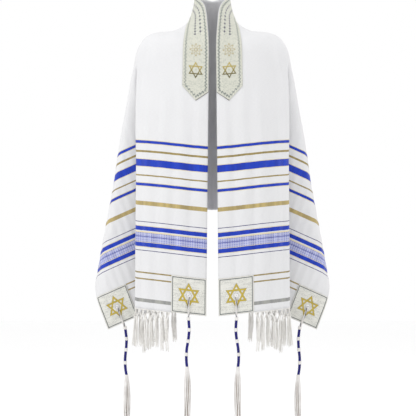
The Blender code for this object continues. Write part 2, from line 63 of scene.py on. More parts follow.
def add_object(name, data):
    obj = bpy.data.objects.new(name, data)
    bpy.context.scene.collection.objects.link(obj)
    return obj


def stage_material(name, colour):
    material = bpy.data.materials.new(name)
    material.use_nodes = True
    shader = material.node_tree.nodes["Principled BSDF"]
    shader.inputs["Base Color"].default_value = (*colour, 1.0)
    shader.inputs["Roughness"].default_value = 0.9
    return material


floor_mesh = bpy.data.meshes.new("floor")
square_corners = ((-1, -1), (1, -1), (1, 1), (-1, 1))
floor_points = [(x * FLOOR_REACH, y * FLOOR_REACH, FLOOR_Z) for x, y in square_corners]
floor_mesh.from_pydata(floor_points, [], [(0, 1, 2, 3)])
floor = add_object("floor", floor_mesh)
floor_mesh.materials.append(stage_material("pale floor", (0.98, 0.98, 0.98)))

world = bpy.data.worlds.new("studio")
world.use_nodes = True
surround = world.node_tree.nodes["Background"]
surround.inputs["Color"].default_value = (1.0, 1.0, 1.0, 1.0)
surround.inputs["Strength"].default_value = 1.0
bpy.context.scene.world = world
bpy.context.scene.view_settings.view_transform = "Standard"

SOFT_LAMPS = (
    # name, place, size, watts
    ("key lamp", (-2.3, -1.1, 0.7), 0.6, 13.0),
    ("fill lamp", (2.4, -1.6, 0.0), 1.4, 1.5),
    ("top lamp", (0.2, -0.7, 1.3), 0.7, 4.0),
    ("back lamp", (2.1, 1.2, 0.5), 0.7, 5.0),
)
for name, place, size, watts in SOFT_LAMPS:
    lamp = add_object(name, bpy.data.lights.new(name, "AREA"))
    lamp.data.shape = "DISK"
    lamp.data.size = size
    lamp.data.energy = watts
    lamp.location = place
    lamp.rotation_euler = (VIEW_CENTRE - Vector(place)).to_track_quat("-Z", "Y").to_euler()

camera = add_object("camera", bpy.data.cameras.new("camera"))
camera.data.lens = LENS_MM
camera.data.sensor_width = SENSOR_MM
distance = PHOTO_WIDTH_M * LENS_MM / SENSOR_MM
camera.location = VIEW_CENTRE + Vector((0.0, -distance, 0.0))
camera.rotation_euler = (math.pi / 2, 0.0, 0.0)
bpy.context.scene.camera = camera
print(f"camera {distance:.2f} m in front")

# %% [markdown]
# ## Where the cloth hangs
# A worn rectangle of cloth bends but hardly stretches. Past the shoulder its hanging part is close to
# a cone: straight lines run down from the point of the shoulder, and the cloth between them folds back
# and forth. So each place of the flat cloth, u from the middle of the back to an end and v from the
# neck edge outwards, is worked out from five short tables of edges and one of folds. A simulation
# would give other folds each time a value changed. These stay where the cloth of the real shawl has
# them.

# %% Sizes of the cut and its edges in space
HALF_LENGTH, WIDTH = 0.915, 0.56
TIP_U, TIP_V = 0.25, 0.20
FRONT_DROP, SIDE_DROP = HALF_LENGTH - TIP_U, WIDTH - TIP_V
PATCH = 0.093
EYELET_U = HALF_LENGTH - PATCH / 2
EYELETS_V = (PATCH / 2, WIDTH - PATCH / 2)
EYELET_RADIUS = 0.0045

NECK_EDGE = (
    # u, x, y, z
    (0.000, 0.000, 0.047, 0.010),
    (0.036, -0.031, 0.032, 0.018),
    (0.071, -0.043, 0.000, 0.020),
    (0.104, -0.035, -0.031, 0.010),
    (0.136, -0.021, -0.054, -0.007),
    (0.192, -0.012, -0.076, -0.062),
    (0.250, -0.009, -0.092, -0.1245),
)
SHOULDER_FRONT = (
    # v, x, y, z
    (0.00, -0.009, -0.092, -0.1245),
    (0.05, -0.0575, -0.088, -0.1205),
    (0.10, -0.106, -0.077, -0.1150),
    (0.15, -0.153, -0.056, -0.1100),
    (0.20, -0.192, -0.020, -0.1070),
)
SHOULDER_BACK = (
    # u, x, y, z
    (0.00, 0.000, 0.104, -0.165),
    (0.06, -0.058, 0.104, -0.160),
    (0.12, -0.112, 0.088, -0.145),
    (0.18, -0.162, 0.050, -0.127),
    (0.25, -0.192, -0.020, -0.107),
)
BACK_MIDDLE = (
    # v, x, y, z
    (0.00, 0.000, 0.047, 0.010),
    (0.05, 0.000, 0.068, -0.034),
    (0.10, 0.000, 0.088, -0.079),
    (0.15, 0.000, 0.100, -0.123),
    (0.20, 0.000, 0.104, -0.165),
)
FRONT_HEM = (
    # v, x, y, z
    (0.00, -0.0155, -0.122, -0.7895),
    (0.05, -0.0630, -0.127, -0.7840),
    (0.10, -0.1100, -0.122, -0.7785),
    (0.15, -0.1540, -0.106, -0.7740),
    (0.20, -0.1915, -0.083, -0.7705),
)
BACK_HEM = (
    # u, x, y, z
    (0.000, 0.000, 0.114, -0.525),
    (0.045, -0.036, 0.130, -0.522),
    (0.090, -0.071, 0.110, -0.516),
    (0.135, -0.106, 0.132, -0.508),
    (0.180, -0.139, 0.112, -0.498),
)
SHOULDER_LIFT = 0.44
FRONT_HEADING = 31.5
SIDE_FOLDS = (
    # heading in degrees, straight length, radius of the turn into it, for each metre of drop
    (177.0, 0.115, 0.012),
    (4.0, 0.245, 0.032),
    (97.0, 0.100, 0.055),
    (178.0, 0.172, 0.032),
    (3.0, 0.192, 0.028),
    (176.0, 0.218, 0.028),
)
SIDE_TAKE_UP, TAKE_UP_EASE = 0.04, (0.3, 0.5)
FOLDS_START, FOLDS_FULL = 0.025, 0.10
FOLD_SOFTNESS, LEAST_DROP = 0.006, 0.02
FOLD_BLUR = ((-1.0, 0.1), (-0.5, 0.2), (0.0, 0.4), (0.5, 0.2), (1.0, 0.1))
SHOULDER_BULGE = (-0.34, 0.10)
print(f"cut {2 * HALF_LENGTH:.2f} by {WIDTH:.2f} m")

# %% [markdown]
# Two helpers draw every edge. One eases a value from 0 to 1, and one runs a smooth curve through the
# rows of a table. A third gives directions the length 1. The folds of the side are then walked from
# above, straight by straight and turn by turn, as a tailor would fold a paper model.

# %% Smooth curves and the path of the folds


def smooth(x):
    x = np.clip(x, 0.0, 1.0)
    return x * x * (3.0 - 2.0 * x)


def unit(vectors):
    return vectors / np.linalg.norm(vectors, axis=-1, keepdims=True)


def along(table, at):
    """Points of a smooth curve through a table, whose first column is the place."""
    rows = np.array(table)
    place = rows[:, 0]
    slope = np.gradient(rows[:, 1:], place, axis=0, edge_order=2)
    at = np.asarray(at, float)
    i = np.clip(np.searchsorted(place, at, side="right") - 1, 0, len(place) - 2)
    span = (place[i + 1] - place[i])[..., None]
    t = (at - place[i])[..., None] / span
    start, end = rows[i, 1:], rows[i + 1, 1:]
    return (
        (2 * t**3 - 3 * t**2 + 1) * start
        + (t**3 - 2 * t**2 + t) * span * slope[i]
        + (3 * t**2 - 2 * t**3) * end
        + (t**3 - t**2) * span * slope[i + 1]
    )


SHOULDER_POINT = np.array(SHOULDER_FRONT[-1][1:])
fold_line = unit(np.array(FRONT_HEM[-1][1:]) - SHOULDER_POINT)


def fold_path(turn_step):
    heading = math.radians(FRONT_HEADING)
    x, y, angle = fold_line[0], fold_line[1], 0.0
    rows = [(angle, x, y)]
    for degrees, straight, radius in SIDE_FOLDS:
        target = math.radians(degrees)
        steps = max(2, math.ceil(abs(target - heading) / math.radians(turn_step)))
        turn = (target - heading) / steps
        for _ in range(steps):
            middle = heading + turn / 2
            x -= 2 * radius * math.sin(abs(turn) / 2) * math.cos(middle)
            y += 2 * radius * math.sin(abs(turn) / 2) * math.sin(middle)
            heading += turn
            angle += radius * abs(turn)
            rows.append((angle, x, y))
        x -= straight * math.cos(heading)
        y += straight * math.sin(heading)
        angle += straight
        rows.append((angle, x, y))
    rows = np.array(rows)
    rows[:, 0] *= math.pi / 2 / rows[-1, 0]
    return rows


FOLD_PATH = fold_path(turn_step=5.0)
print(f"{len(FOLD_PATH)} points on the path of the folds")

# %% [markdown]
# The shoulder itself is a patch of surface between four of the curves. The four parts of the cloth, the
# shoulder, the front, the back and the fan of the side, meet at the point of the shoulder. Averaging a
# few neighbouring places there rounds the cloth over the shoulder, as its weight does.

# %% From a flat place to a point in space
ROUNDING_REACH, ROUNDING_FALL = 0.021, 0.45
ROUNDING_FROM, ROUNDING_OVER = 0.01, 0.11
NECK_EASE_FROM, NECK_EASE_OVER = -0.02, 0.05


def hang_direction(angle, drop):
    t = angle / (math.pi / 2)
    to_end = np.minimum(angle, math.pi / 2 - angle)
    spread = np.minimum(FOLD_SOFTNESS / np.maximum(drop, LEAST_DROP), to_end)
    x, y = 0.0, 0.0
    for off, share in FOLD_BLUR:
        at = angle + off * spread
        x = x + share * np.interp(at, FOLD_PATH[:, 0], FOLD_PATH[:, 1])
        y = y + share * np.interp(at, FOLD_PATH[:, 0], FOLD_PATH[:, 2])
    first, last = FOLD_PATH[0, 1:], FOLD_PATH[-1, 1:]
    round_x = (1 - t) ** 2 * first[0] + 2 * t * (1 - t) * SHOULDER_BULGE[0] + t**2 * last[0]
    round_y = (1 - t) ** 2 * first[1] + 2 * t * (1 - t) * SHOULDER_BULGE[1] + t**2 * last[1]
    folded = smooth((drop - FOLDS_START) / (FOLDS_FULL - FOLDS_START))
    x = round_x + (x - round_x) * folded
    y = round_y + (y - round_y) * folded
    lean = np.hypot(x, y)
    scale = np.sinc(lean / math.pi)
    return np.stack([x * scale, y * scale, -np.cos(lean)], axis=-1)


def shoulder_point(u, v):
    a = np.clip(u / TIP_U, 0.0, 1.0)[..., None]
    b = np.clip(v / TIP_V, 0.0, 1.0)[..., None]
    corners = (
        (1 - a) * (1 - b) * np.array(NECK_EDGE[0][1:])
        + a * (1 - b) * np.array(NECK_EDGE[-1][1:])
        + (1 - a) * b * np.array(SHOULDER_BACK[0][1:])
        + a * b * SHOULDER_POINT
    )
    point = (
        (1 - b) * along(NECK_EDGE, u)
        + b * along(SHOULDER_BACK, u)
        + (1 - a) * along(BACK_MIDDLE, v)
        + a * along(SHOULDER_FRONT, v)
        - corners
    )
    lift = SHOULDER_LIFT * np.sqrt((1 - a) * (1 - b)) * a**2 * b**2
    return point + lift * np.array([0.0, 0.0, 1.0])


back_corner = SHOULDER_POINT + SIDE_DROP * hang_direction(np.array(math.pi / 2), np.array(SIDE_DROP))
BACK_EDGE = BACK_HEM + ((TIP_U, *back_corner),)


def plain_point(u, v):
    side = np.where(u < 0, -1.0, 1.0)
    u = np.abs(u)
    past_edge = v < 0
    v = np.abs(v)
    near_u, near_v = np.minimum(u, TIP_U), np.minimum(v, TIP_V)
    down_front, down_back = u - near_u, v - near_v
    front = along(FRONT_HEM, near_v) - along(SHOULDER_FRONT, near_v)
    back = along(BACK_EDGE, near_u) - along(SHOULDER_BACK, near_u)
    drop = np.hypot(down_front, down_back)
    angle = np.arctan2(down_back, down_front)
    eased = smooth(angle / TAKE_UP_EASE[0]) * smooth((math.pi / 2 - angle) / TAKE_UP_EASE[1])
    fan = (drop * (1 - SIDE_TAKE_UP * eased))[..., None] * hang_direction(angle, drop)
    straight = (down_front / FRONT_DROP)[..., None] * front + (down_back / SIDE_DROP)[..., None] * back
    in_fan = ((down_front > 0) & (down_back > 0))[..., None]
    point = shoulder_point(near_u, near_v) + np.where(in_fan, fan, straight)
    if past_edge.any():
        edge = plain_point(np.where(past_edge, u, 0.0), np.zeros_like(v))
        point = np.where(past_edge[..., None], 2 * edge - point, point)
    return point * np.stack([side, np.ones_like(side), np.ones_like(side)], axis=-1)


def rounded_point(u, v):
    u, v = np.broadcast_arrays(np.asarray(u, float), np.asarray(v, float))
    point = plain_point(u, v)
    drop = np.hypot(np.maximum(np.abs(u) - TIP_U, 0.0), np.maximum(v - TIP_V, 0.0))
    reach = ROUNDING_REACH * (1 - smooth((drop - ROUNDING_FROM) / ROUNDING_OVER))
    reach = reach * smooth((v - NECK_EASE_FROM) / NECK_EASE_OVER)
    near = reach > 1e-5
    u, v, reach = u[near], v[near], reach[near]
    total, weight = np.zeros((len(u), 3)), 0.0
    for i in range(-2, 3):
        for j in range(-2, 3):
            share = math.exp(-ROUNDING_FALL * (i * i + j * j))
            total += share * plain_point(u + 0.5 * i * reach, v + 0.5 * j * reach)
            weight += share
    point[near] = total / weight
    return point


print("front corner at", np.round(rounded_point(np.array([HALF_LENGTH]), np.array([0.0]))[0], 3))

# %% [markdown]
# ## Creases
# The large folds are in the tables. On top of them real cloth has soft, uneven troughs and ridges: long
# ones down the fronts, slanted ones over the shoulders and wide ones down the back. Each row below is
# one of them, drawn from one flat place to another. A positive depth is a ridge.

# %% Creases, one row each
CREASES = (
    # u and v of one end, u and v of the other, width, depth
    (0.30, 0.018, 0.86, 0.024, 0.010, 0.0026),
    (0.42, 0.041, 0.90, 0.046, 0.011, -0.0026),
    (0.27, 0.066, 0.82, 0.070, 0.012, 0.0034),
    (0.46, 0.092, 0.915, 0.093, 0.010, -0.0026),
    (0.33, 0.112, 0.88, 0.117, 0.012, 0.0036),
    (0.52, 0.137, 0.915, 0.141, 0.011, -0.0030),
    (0.36, 0.158, 0.915, 0.163, 0.010, 0.0026),
    (0.60, 0.181, 0.915, 0.183, 0.008, -0.0020),
    (0.10, 0.070, 0.24, 0.150, 0.016, -0.0044),
    (0.14, 0.060, 0.28, 0.110, 0.015, 0.0034),
    (0.17, 0.030, 0.33, 0.060, 0.012, -0.0026),
    (0.06, 0.090, 0.19, 0.190, 0.018, 0.0040),
    (0.20, 0.150, 0.40, 0.196, 0.013, -0.0032),
    (0.27, 0.197, 0.56, 0.199, 0.007, 0.0026),
    (0.26, 0.214, 0.52, 0.222, 0.010, -0.0042),
    (0.29, 0.238, 0.47, 0.262, 0.011, 0.0026),
    (0.05, 0.120, 0.08, 0.500, 0.022, -0.0042),
    (0.12, 0.200, 0.125, 0.560, 0.018, 0.0038),
    (0.17, 0.240, 0.165, 0.540, 0.016, -0.0032),
    (0.02, 0.240, 0.015, 0.530, 0.020, 0.0030),
    (0.20, 0.260, 0.205, 0.560, 0.015, 0.0030),
    (0.62, 0.420, 0.74, 0.520, 0.014, 0.0030),
    (0.50, 0.360, 0.70, 0.540, 0.013, -0.0028),
    (0.40, 0.310, 0.52, 0.450, 0.014, 0.0030),
    (0.36, 0.350, 0.42, 0.520, 0.015, -0.0032),
    (0.30, 0.330, 0.33, 0.500, 0.014, 0.0026),
    (0.74, 0.300, 0.88, 0.350, 0.012, 0.0022),
)
CREASE_WANDER = 0.2
FADE_IN, FADE_OUT = 0.08, 0.10
RIPPLE_HEIGHT, RIPPLE_WIDTH, RIPPLE_FROM = 0.0005, 0.023, 0.3
NEARBY = 0.0006


def crease_height(u, v):
    u = np.abs(u)
    height = np.zeros(np.broadcast(u, v).shape)
    for u0, v0, u1, v1, width, depth in CREASES:
        length = math.hypot(u1 - u0, v1 - v0)
        run = ((u - u0) * (u1 - u0) + (v - v0) * (v1 - v0)) / length
        off = ((v - v0) * (u1 - u0) - (u - u0) * (v1 - v0)) / length
        off = off + CREASE_WANDER * width * np.sin(23.0 * run + 60.0 * v0)
        runs_off = (u1 >= HALF_LENGTH) + (v1 >= WIDTH)
        fade = smooth(run / FADE_IN) * smooth((length - run) / FADE_OUT + runs_off)
        height += depth * np.exp(-((off / width) ** 2)) * fade
    ripple = np.sin(2 * math.pi * v / RIPPLE_WIDTH + 1.8 * np.sin(6.0 * u))
    return height + RIPPLE_HEIGHT * ripple * smooth((u - RIPPLE_FROM) / RIPPLE_FROM)


def cloth_grid(u, v):
    """Points and outward normals of the creased cloth over a grid of flat places."""
    point = rounded_point(u, v)
    normal = unit(np.cross(np.gradient(point, axis=1), np.gradient(point, axis=0)))
    point = point + crease_height(u, v)[..., None] * normal
    return point, normal


def cloth_frame(u, v):
    """Point, outward normal and downward direction of the creased cloth at single flat places."""
    u, v = np.broadcast_arrays(np.asarray(u, float), np.asarray(v, float))
    point = rounded_point(u, v)
    down = rounded_point(u + NEARBY, v) - rounded_point(u - NEARBY, v)
    across = rounded_point(u, v + NEARBY) - rounded_point(u, v - NEARBY)
    normal, down = unit(np.cross(across, down)), unit(down)
    return point + crease_height(u, v)[..., None] * normal, normal, down


print(f"{len(CREASES)} creases")

# %% [markdown]
# ## From grids and lines to meshes
# Every cloth piece is a shell: an outer skin, an inner one, and a rim that closes them. It is made from
# arrays of points, and keeps the flat places as a UV map in metres. The stripes can then be woven in by
# their true distances.

# %% Pieces and shells


def declare(piece, stands_for=None):
    """A piece is still and may stand for a solid, which is then hidden."""
    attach(piece, "root")
    if stands_for:
        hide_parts(stands_for)


def add_piece(name, points, faces, material, uv=None, floats=None):
    mesh = bpy.data.meshes.new(name)
    faces = faces.tolist() if hasattr(faces, "tolist") else faces
    mesh.from_pydata(np.asarray(points).tolist(), [], faces)
    mesh.update()
    if uv is not None:
        corner_vertex = np.empty(len(mesh.loops), np.int32)
        mesh.loops.foreach_get("vertex_index", corner_vertex)
        layer = mesh.uv_layers.new(name="flat")
        layer.data.foreach_set("uv", np.asarray(uv, np.float32)[corner_vertex].ravel())
    for key, values in (floats or {}).items():
        mesh.attributes.new(key, "FLOAT", "POINT").data.foreach_set("value", np.asarray(values, np.float32))
    mesh.polygons.foreach_set("use_smooth", np.ones(len(mesh.polygons), bool))
    mesh.materials.append(material)
    return add_object(name, mesh)


def grid_quads(rows, columns):
    index = np.arange(rows * columns).reshape(rows, columns)
    corners = (index[:-1, :-1], index[:-1, 1:], index[1:, 1:], index[1:, :-1])
    return np.stack(corners, axis=-1).reshape(-1, 4)


def shell(outer, inner, quads):
    """Points and faces of two skins closed by a rim. The quads are those of the outer skin."""
    count = len(outer)
    edges = np.concatenate([quads[:, [i, (i + 1) % 4]] for i in range(4)])
    key, twin = edges[:, 0] * count + edges[:, 1], edges[:, 1] * count + edges[:, 0]
    rim = edges[~np.isin(key, twin)]
    sides = np.stack([rim[:, 1], rim[:, 0], rim[:, 0] + count, rim[:, 1] + count], axis=-1)
    return np.concatenate([outer, inner]), np.concatenate([quads, quads[:, ::-1] + count, sides])


def add_shell(name, points, normals, heights, quads, places, material, sign=1, floats=None):
    """A piece of cloth between two heights over the points. With sign -1, its mirror image."""
    outer, inner = ((points + height * normals).reshape(-1, 3) for height in heights)
    shell_points, shell_faces = shell(outer, inner, quads)
    uv = np.stack([np.abs(places[0]).ravel(), np.ravel(places[1])], axis=-1)
    on_both = {key: np.tile(np.ravel(values), 2) for key, values in (floats or {}).items()}
    flip = np.array([sign, 1, 1])
    return add_piece(
        name, shell_points * flip, shell_faces[:, ::sign], material, np.concatenate([uv, uv]), on_both
    )


print("a cloth piece is two skins and a rim")

# %% [markdown]
# Every cord is a tube that follows a line. Many tubes are made in one go, because a fringe has hundreds.
# The shawl's two sides are alike, so each mesh is made for one of them and mirrored for the other.

# %% Tubes and mirrored meshes


def tubes(paths, radii, sides, reference):
    """One mesh of closed tubes along paths of shape (tubes, points, 3)."""
    paths = np.asarray(paths, float)
    count, steps = paths.shape[:2]
    radii = np.broadcast_to(np.asarray(radii, float), (count, steps))
    tangent = unit(np.gradient(paths, axis=1))
    across = unit(np.cross(tangent, reference))
    other = np.cross(tangent, across)
    turn = np.arange(sides) * 2 * math.pi / sides
    ring = np.cos(turn)[:, None] * across[:, :, None] + np.sin(turn)[:, None] * other[:, :, None]
    points = paths[:, :, None] + radii[:, :, None, None] * ring
    index = np.arange(count * steps * sides).reshape(count, steps, sides)
    after = np.roll(index, -1, axis=2)
    walls = np.stack([index[:, :-1], after[:, :-1], after[:, 1:], index[:, 1:]], axis=-1).reshape(-1, 4)
    caps = [ring_ids[::-1].tolist() for ring_ids in index[:, 0]] + index[:, -1].tolist()
    return points.reshape(-1, 3), walls.tolist() + caps


def merged(parts):
    """Several (points, faces) pairs as one."""
    points, faces, count = [], [], 0
    for more_points, more_faces in parts:
        points.append(np.asarray(more_points))
        faces += [[int(i) + count for i in face] for face in more_faces]
        count += len(more_points)
    return np.concatenate(points), faces


def for_side(sign, points, faces):
    return points * np.array([sign, 1, 1]), [face[::sign] for face in faces]


print("a cord is a closed tube")

# %% [markdown]
# ## Helpers for materials
# Every fabric here is a small net of nodes. Writing each node out would hide the fabric behind its
# wiring, so short helpers with plain names, such as times and plus, add one node and return its output.
# A socket knows the net that it is in, so no helper has to be told.

# %% Small node helpers


def is_socket(value):
    return hasattr(value, "is_output")


def new_node(kind, *values):
    """A node in the net that the values come from."""
    return next(value.id_data for value in values if is_socket(value)).nodes.new(kind)


def link(source, target):
    source.id_data.links.new(source, target)


def set_or_link(value, socket):
    if is_socket(value):
        link(value, socket)
    else:
        socket.default_value = value


def maths(operation, *values, clamp=False):
    node = new_node("ShaderNodeMath", *values)
    node.operation = operation
    node.use_clamp = clamp
    for value, socket in zip(values, node.inputs):
        set_or_link(value, socket)
    return node.outputs[0]


def short_for(operation):
    return lambda *values, **options: maths(operation, *values, **options)


plus, minus, times = short_for("ADD"), short_for("SUBTRACT"), short_for("MULTIPLY")
times_plus, absolute, sine = short_for("MULTIPLY_ADD"), short_for("ABSOLUTE"), short_for("SINE")
over, under = short_for("GREATER_THAN"), short_for("LESS_THAN")
larger, smaller = short_for("MAXIMUM"), short_for("MINIMUM")
back_and_forth = short_for("PINGPONG")


def within(value, low, high):
    """1 where the value lies between low and high."""
    return times(over(value, low), under(value, high))


def apart(first, second):
    """How far two values are from each other."""
    return absolute(minus(first, second))


def mixed(factor, first, second, blend="MIX"):
    node = new_node("ShaderNodeMix", factor, first, second)
    node.data_type = "RGBA"
    node.blend_type = blend
    set_or_link(factor, node.inputs[0])
    for value, socket in ((first, node.inputs[6]), (second, node.inputs[7])):
        set_or_link(value if is_socket(value) else (*value, 1.0), socket)
    return node.outputs[2]


def parts_of(vector):
    split = new_node("ShaderNodeSeparateXYZ", vector)
    link(vector, split.inputs[0])
    return split.outputs


def stretched(vector, factors):
    node = new_node("ShaderNodeVectorMath", vector)
    node.operation = "MULTIPLY"
    node.inputs[1].default_value = factors
    link(vector, node.inputs[0])
    return node.outputs[0]


def noise(vector, scale, detail=2.0):
    node = new_node("ShaderNodeTexNoise", vector)
    node.inputs["Detail"].default_value = detail
    link(vector, node.inputs["Vector"])
    set_or_link(scale, node.inputs["Scale"])
    return node.outputs["Fac"]


def cells(vector, scale, feature="F1"):
    node = new_node("ShaderNodeTexVoronoi", vector)
    node.feature = feature
    node.inputs["Scale"].default_value = scale
    link(vector, node.inputs["Vector"])
    return node.outputs["Distance"]


def attribute(tree, name):
    node = tree.nodes.new("ShaderNodeAttribute")
    node.attribute_name = name
    return node.outputs["Fac"]


def flat_place(tree):
    """The u and v of the flat cloth, in metres, and both as a vector."""
    uv = tree.nodes.new("ShaderNodeUVMap")
    uv.uv_map = "flat"
    u, v, _ = parts_of(uv.outputs[0])
    return u, v, uv.outputs[0]


print("helpers for maths, colours, noise and flat places")

# %% [markdown]
# ## Node groups that several finishes share
# Woven threads, uneven yarn and six-pointed stars come up in more than one fabric. Each is a group with
# named inputs, which gives out a height or a mask and nothing else, so every fabric can use it its own
# way. The star is two triangles, and a place is on a triangle's line where the farthest of its three
# sides is half a radius from the middle.

# %% Threads, yarn and stars
YARN_STRETCH = (9.0, 1.0, 1.0)
YARN_DETAIL = 3.0


def new_group(name, numbers, output):
    """An empty group with a Place, named numbers going in and one number coming out."""
    tree = bpy.data.node_groups.new(name, "ShaderNodeTree")
    tree.interface.new_socket("Place", in_out="INPUT", socket_type="NodeSocketVector")
    for label in numbers:
        tree.interface.new_socket(label, in_out="INPUT", socket_type="NodeSocketFloat")
    tree.interface.new_socket(output, in_out="OUTPUT", socket_type="NodeSocketFloat")
    return tree, tree.nodes.new("NodeGroupInput").outputs, tree.nodes.new("NodeGroupOutput").inputs[0]


def use_group(group, **values):
    node = new_node("ShaderNodeGroup", values["Place"])
    node.node_tree = group
    for key, value in values.items():
        set_or_link(value, node.inputs[key.replace("_", " ")])
    return node.outputs[0]


weave_group, given, out = new_group("woven threads", ["Threads"], "Height")
turns = times(given["Threads"], 2 * math.pi)
u, v, _ = parts_of(given["Place"])
warp, weft = (sine(times(way, turns)) for way in (u, v))
link(times_plus(times(warp, weft), 0.5, 0.5), out)

yarn_group, given, out = new_group("uneven yarn", ["Scale"], "Value")
drawn_out = stretched(given["Place"], YARN_STRETCH)
link(noise(drawn_out, given["Scale"], YARN_DETAIL), out)

star_group, given, out = new_group("six-pointed star", ["Centre U", "Centre V", "Radius", "Line"], "Mask")
u, v, _ = parts_of(given["Place"])
up = minus(given["Centre U"], u)
across = minus(v, given["Centre V"])
inner_radius = times(given["Radius"], 0.5)
half_line = times(given["Line"], 0.5)
slant = times(absolute(across), math.sqrt(0.75))
triangle_masks = []
for sign in (1.0, -1.0):
    rise = times(up, sign)
    sloped = times_plus(rise, 0.5, slant)
    farthest = larger(times(rise, -1.0), sloped)
    triangle_masks.append(under(apart(farthest, inner_radius), half_line))
link(larger(*triangle_masks), out)
print("groups:", weave_group.name, yarn_group.name, star_group.name, sep=" | ")

# %% [markdown]
# ## What every fabric starts from
# A fabric is a dull shader with a little sheen. A colour ramp with hard stops gives a row of stripes,
# and its alpha can say one more thing about each stripe. A bump gives the threads.

# %% Fabrics, ramps and bumps
RAMP_LENGTH_MM = 450.0
BUMP_STRENGTH, BUMP_DEPTH = 0.35, 0.0005


def new_fabric(name, roughness=0.85, sheen=0.15):
    material = bpy.data.materials.new(name)
    material.use_nodes = True
    shader = material.node_tree.nodes["Principled BSDF"]
    shader.inputs["Roughness"].default_value = roughness
    shader.inputs["Sheen Weight"].default_value = sheen
    shader.inputs["Specular IOR Level"].default_value = 0.3
    return material, material.node_tree, shader


def hard_ramp(value_mm, rows):
    """A colour ramp with hard stops, given as (millimetres, colour, alpha)."""
    ramp = new_node("ShaderNodeValToRGB", value_mm)
    stops = ramp.color_ramp.elements
    ramp.color_ramp.interpolation = "CONSTANT"
    stops.remove(stops[1])
    for number, (start, colour, alpha) in enumerate(rows):
        at = start / RAMP_LENGTH_MM
        stop = stops[0] if number == 0 else stops.new(at)
        stop.position = at
        stop.color = (*colour, float(alpha))
    link(times(value_mm, 1.0 / RAMP_LENGTH_MM), ramp.inputs[0])
    return ramp.outputs["Color"], ramp.outputs["Alpha"]


def add_bump(shader, height, strength=BUMP_STRENGTH, depth=BUMP_DEPTH):
    bump = new_node("ShaderNodeBump", height)
    bump.inputs["Strength"].default_value = strength
    bump.inputs["Distance"].default_value = depth
    link(height, bump.inputs["Height"])
    link(bump.outputs[0], shader.inputs["Normal"])


print(f"ramps reach {RAMP_LENGTH_MM:.0f} mm from the hem")

# %% [markdown]
# ## The order of the stripes
# The stripes are woven across both ends of the cloth, in satin. The table gives the whole sequence, from
# the hem upwards in millimetres, and which of them are satin. The widest band is figured with small
# leaves between two blue stripes. Thin cream lines run beside the blue ones.

# %% Colours and stripes
BLACK = (0.0, 0.0, 0.0)
WHITE = (0.74, 0.74, 0.75)
CREAM = (0.70, 0.62, 0.42)
GREY = (0.30, 0.305, 0.30)
GOLD = (0.42, 0.33, 0.14)
OLIVE = (0.29, 0.225, 0.085)
NAVY = (0.030, 0.030, 0.14)
BLUE = (0.002, 0.034, 0.44)
LAVENDER = (0.45, 0.475, 0.69)
INDIGO = (0.045, 0.055, 0.30)
STRIPES = (
    # from hem in mm, yarn that starts there, satin
    (0.0, WHITE, 0), (17.0, GREY, 1), (26.0, WHITE, 0),
    (72.5, OLIVE, 1), (76.0, WHITE, 0), (88.5, OLIVE, 1), (92.0, WHITE, 0),
    (145.0, NAVY, 1), (147.0, WHITE, 0), (155.0, BLUE, 1), (165.5, CREAM, 0),
    (168.0, LAVENDER, 1), (179.5, INDIGO, 1), (181.5, LAVENDER, 1), (191.5, CREAM, 0),
    (194.0, WHITE, 0), (196.0, BLUE, 1), (207.0, WHITE, 0), (217.5, NAVY, 1), (219.5, WHITE, 0),
    (259.0, GOLD, 1), (269.0, WHITE, 0), (308.0, BLUE, 1), (316.0, WHITE, 0),
    (333.0, OLIVE, 1), (337.0, WHITE, 0), (357.5, BLUE, 1), (375.0, WHITE, 0),
    (393.5, OLIVE, 1), (397.5, WHITE, 0), (415.0, BLUE, 1), (423.5, WHITE, 0),
)
HAIRLINES_MM = (153.4, 207.0, 306.4, 316.0, 355.9, 375.0, 413.4, 423.5)
HAIRLINE_WIDTH_MM = 1.6
hairline_rows = [(0.0, BLACK, 0)]
for start in HAIRLINES_MM:
    hairline_rows += [(start, BLACK, 1), (start + HAIRLINE_WIDTH_MM, BLACK, 0)]
print(f"{len(STRIPES)} stops in the stripe ramp, {len(HAIRLINES_MM)} hairlines")

# %% [markdown]
# ## The shawl cloth's finish
# Yarn is never quite even. A slow noise shifts the edges of the stripes by a fraction of a millimetre.
# Lighter and darker streaks across the satin are painted sheen and painted shade, from a stretched noise.

# %% Stripes of the shawl cloth
EDGE_WANDER, WANDER_SCALE = 0.0008, 90.0
LEAF_START_MM, LEAF_ROW_MM, LEAF_STEP_MM, LEAF_SIZE_MM = 168.8, 2.7, 3.1, 2.4
LEAVES_WITHIN_MM, LEAF_BLUE, LEAF_SHARE = (168.0, 191.5), (0.14, 0.17, 0.52), 0.7
STREAK_STRETCH, STREAK_CONTRAST, STREAK_CUT = (4.0, 60.0, 1.0), 2.4, -0.8
SHEEN_HIGHLIGHT, SHEEN_SHADE = (1.35, 1.33, 1.22), (0.82, 0.82, 0.84)
cloth_finish, tree, shader = new_fabric("striped white cloth")
u, v, place = flat_place(tree)
wander = use_group(yarn_group, Place=place, Scale=WANDER_SCALE)
from_hem = times_plus(wander, EDGE_WANDER, minus(HALF_LENGTH, u))
from_hem_mm = times(from_hem, 1000.0)
colour, satin = hard_ramp(from_hem_mm, STRIPES)
_, hairline = hard_ramp(from_hem_mm, hairline_rows)
leaf_rows = back_and_forth(minus(from_hem_mm, LEAF_START_MM), LEAF_ROW_MM)
leaf_steps = back_and_forth(times(v, 1000.0), LEAF_STEP_MM)
leaves = under(plus(leaf_rows, leaf_steps), LEAF_SIZE_MM)
leaves = times(leaves, within(from_hem_mm, *LEAVES_WITHIN_MM))
colour = mixed(times(leaves, LEAF_SHARE), colour, LEAF_BLUE)
colour = mixed(hairline, colour, CREAM)
# Painted sheen and shade: the satin stripes are brightened and darkened along a stretched noise.
sheen_streaks = noise(stretched(place, STREAK_STRETCH), 1.0)
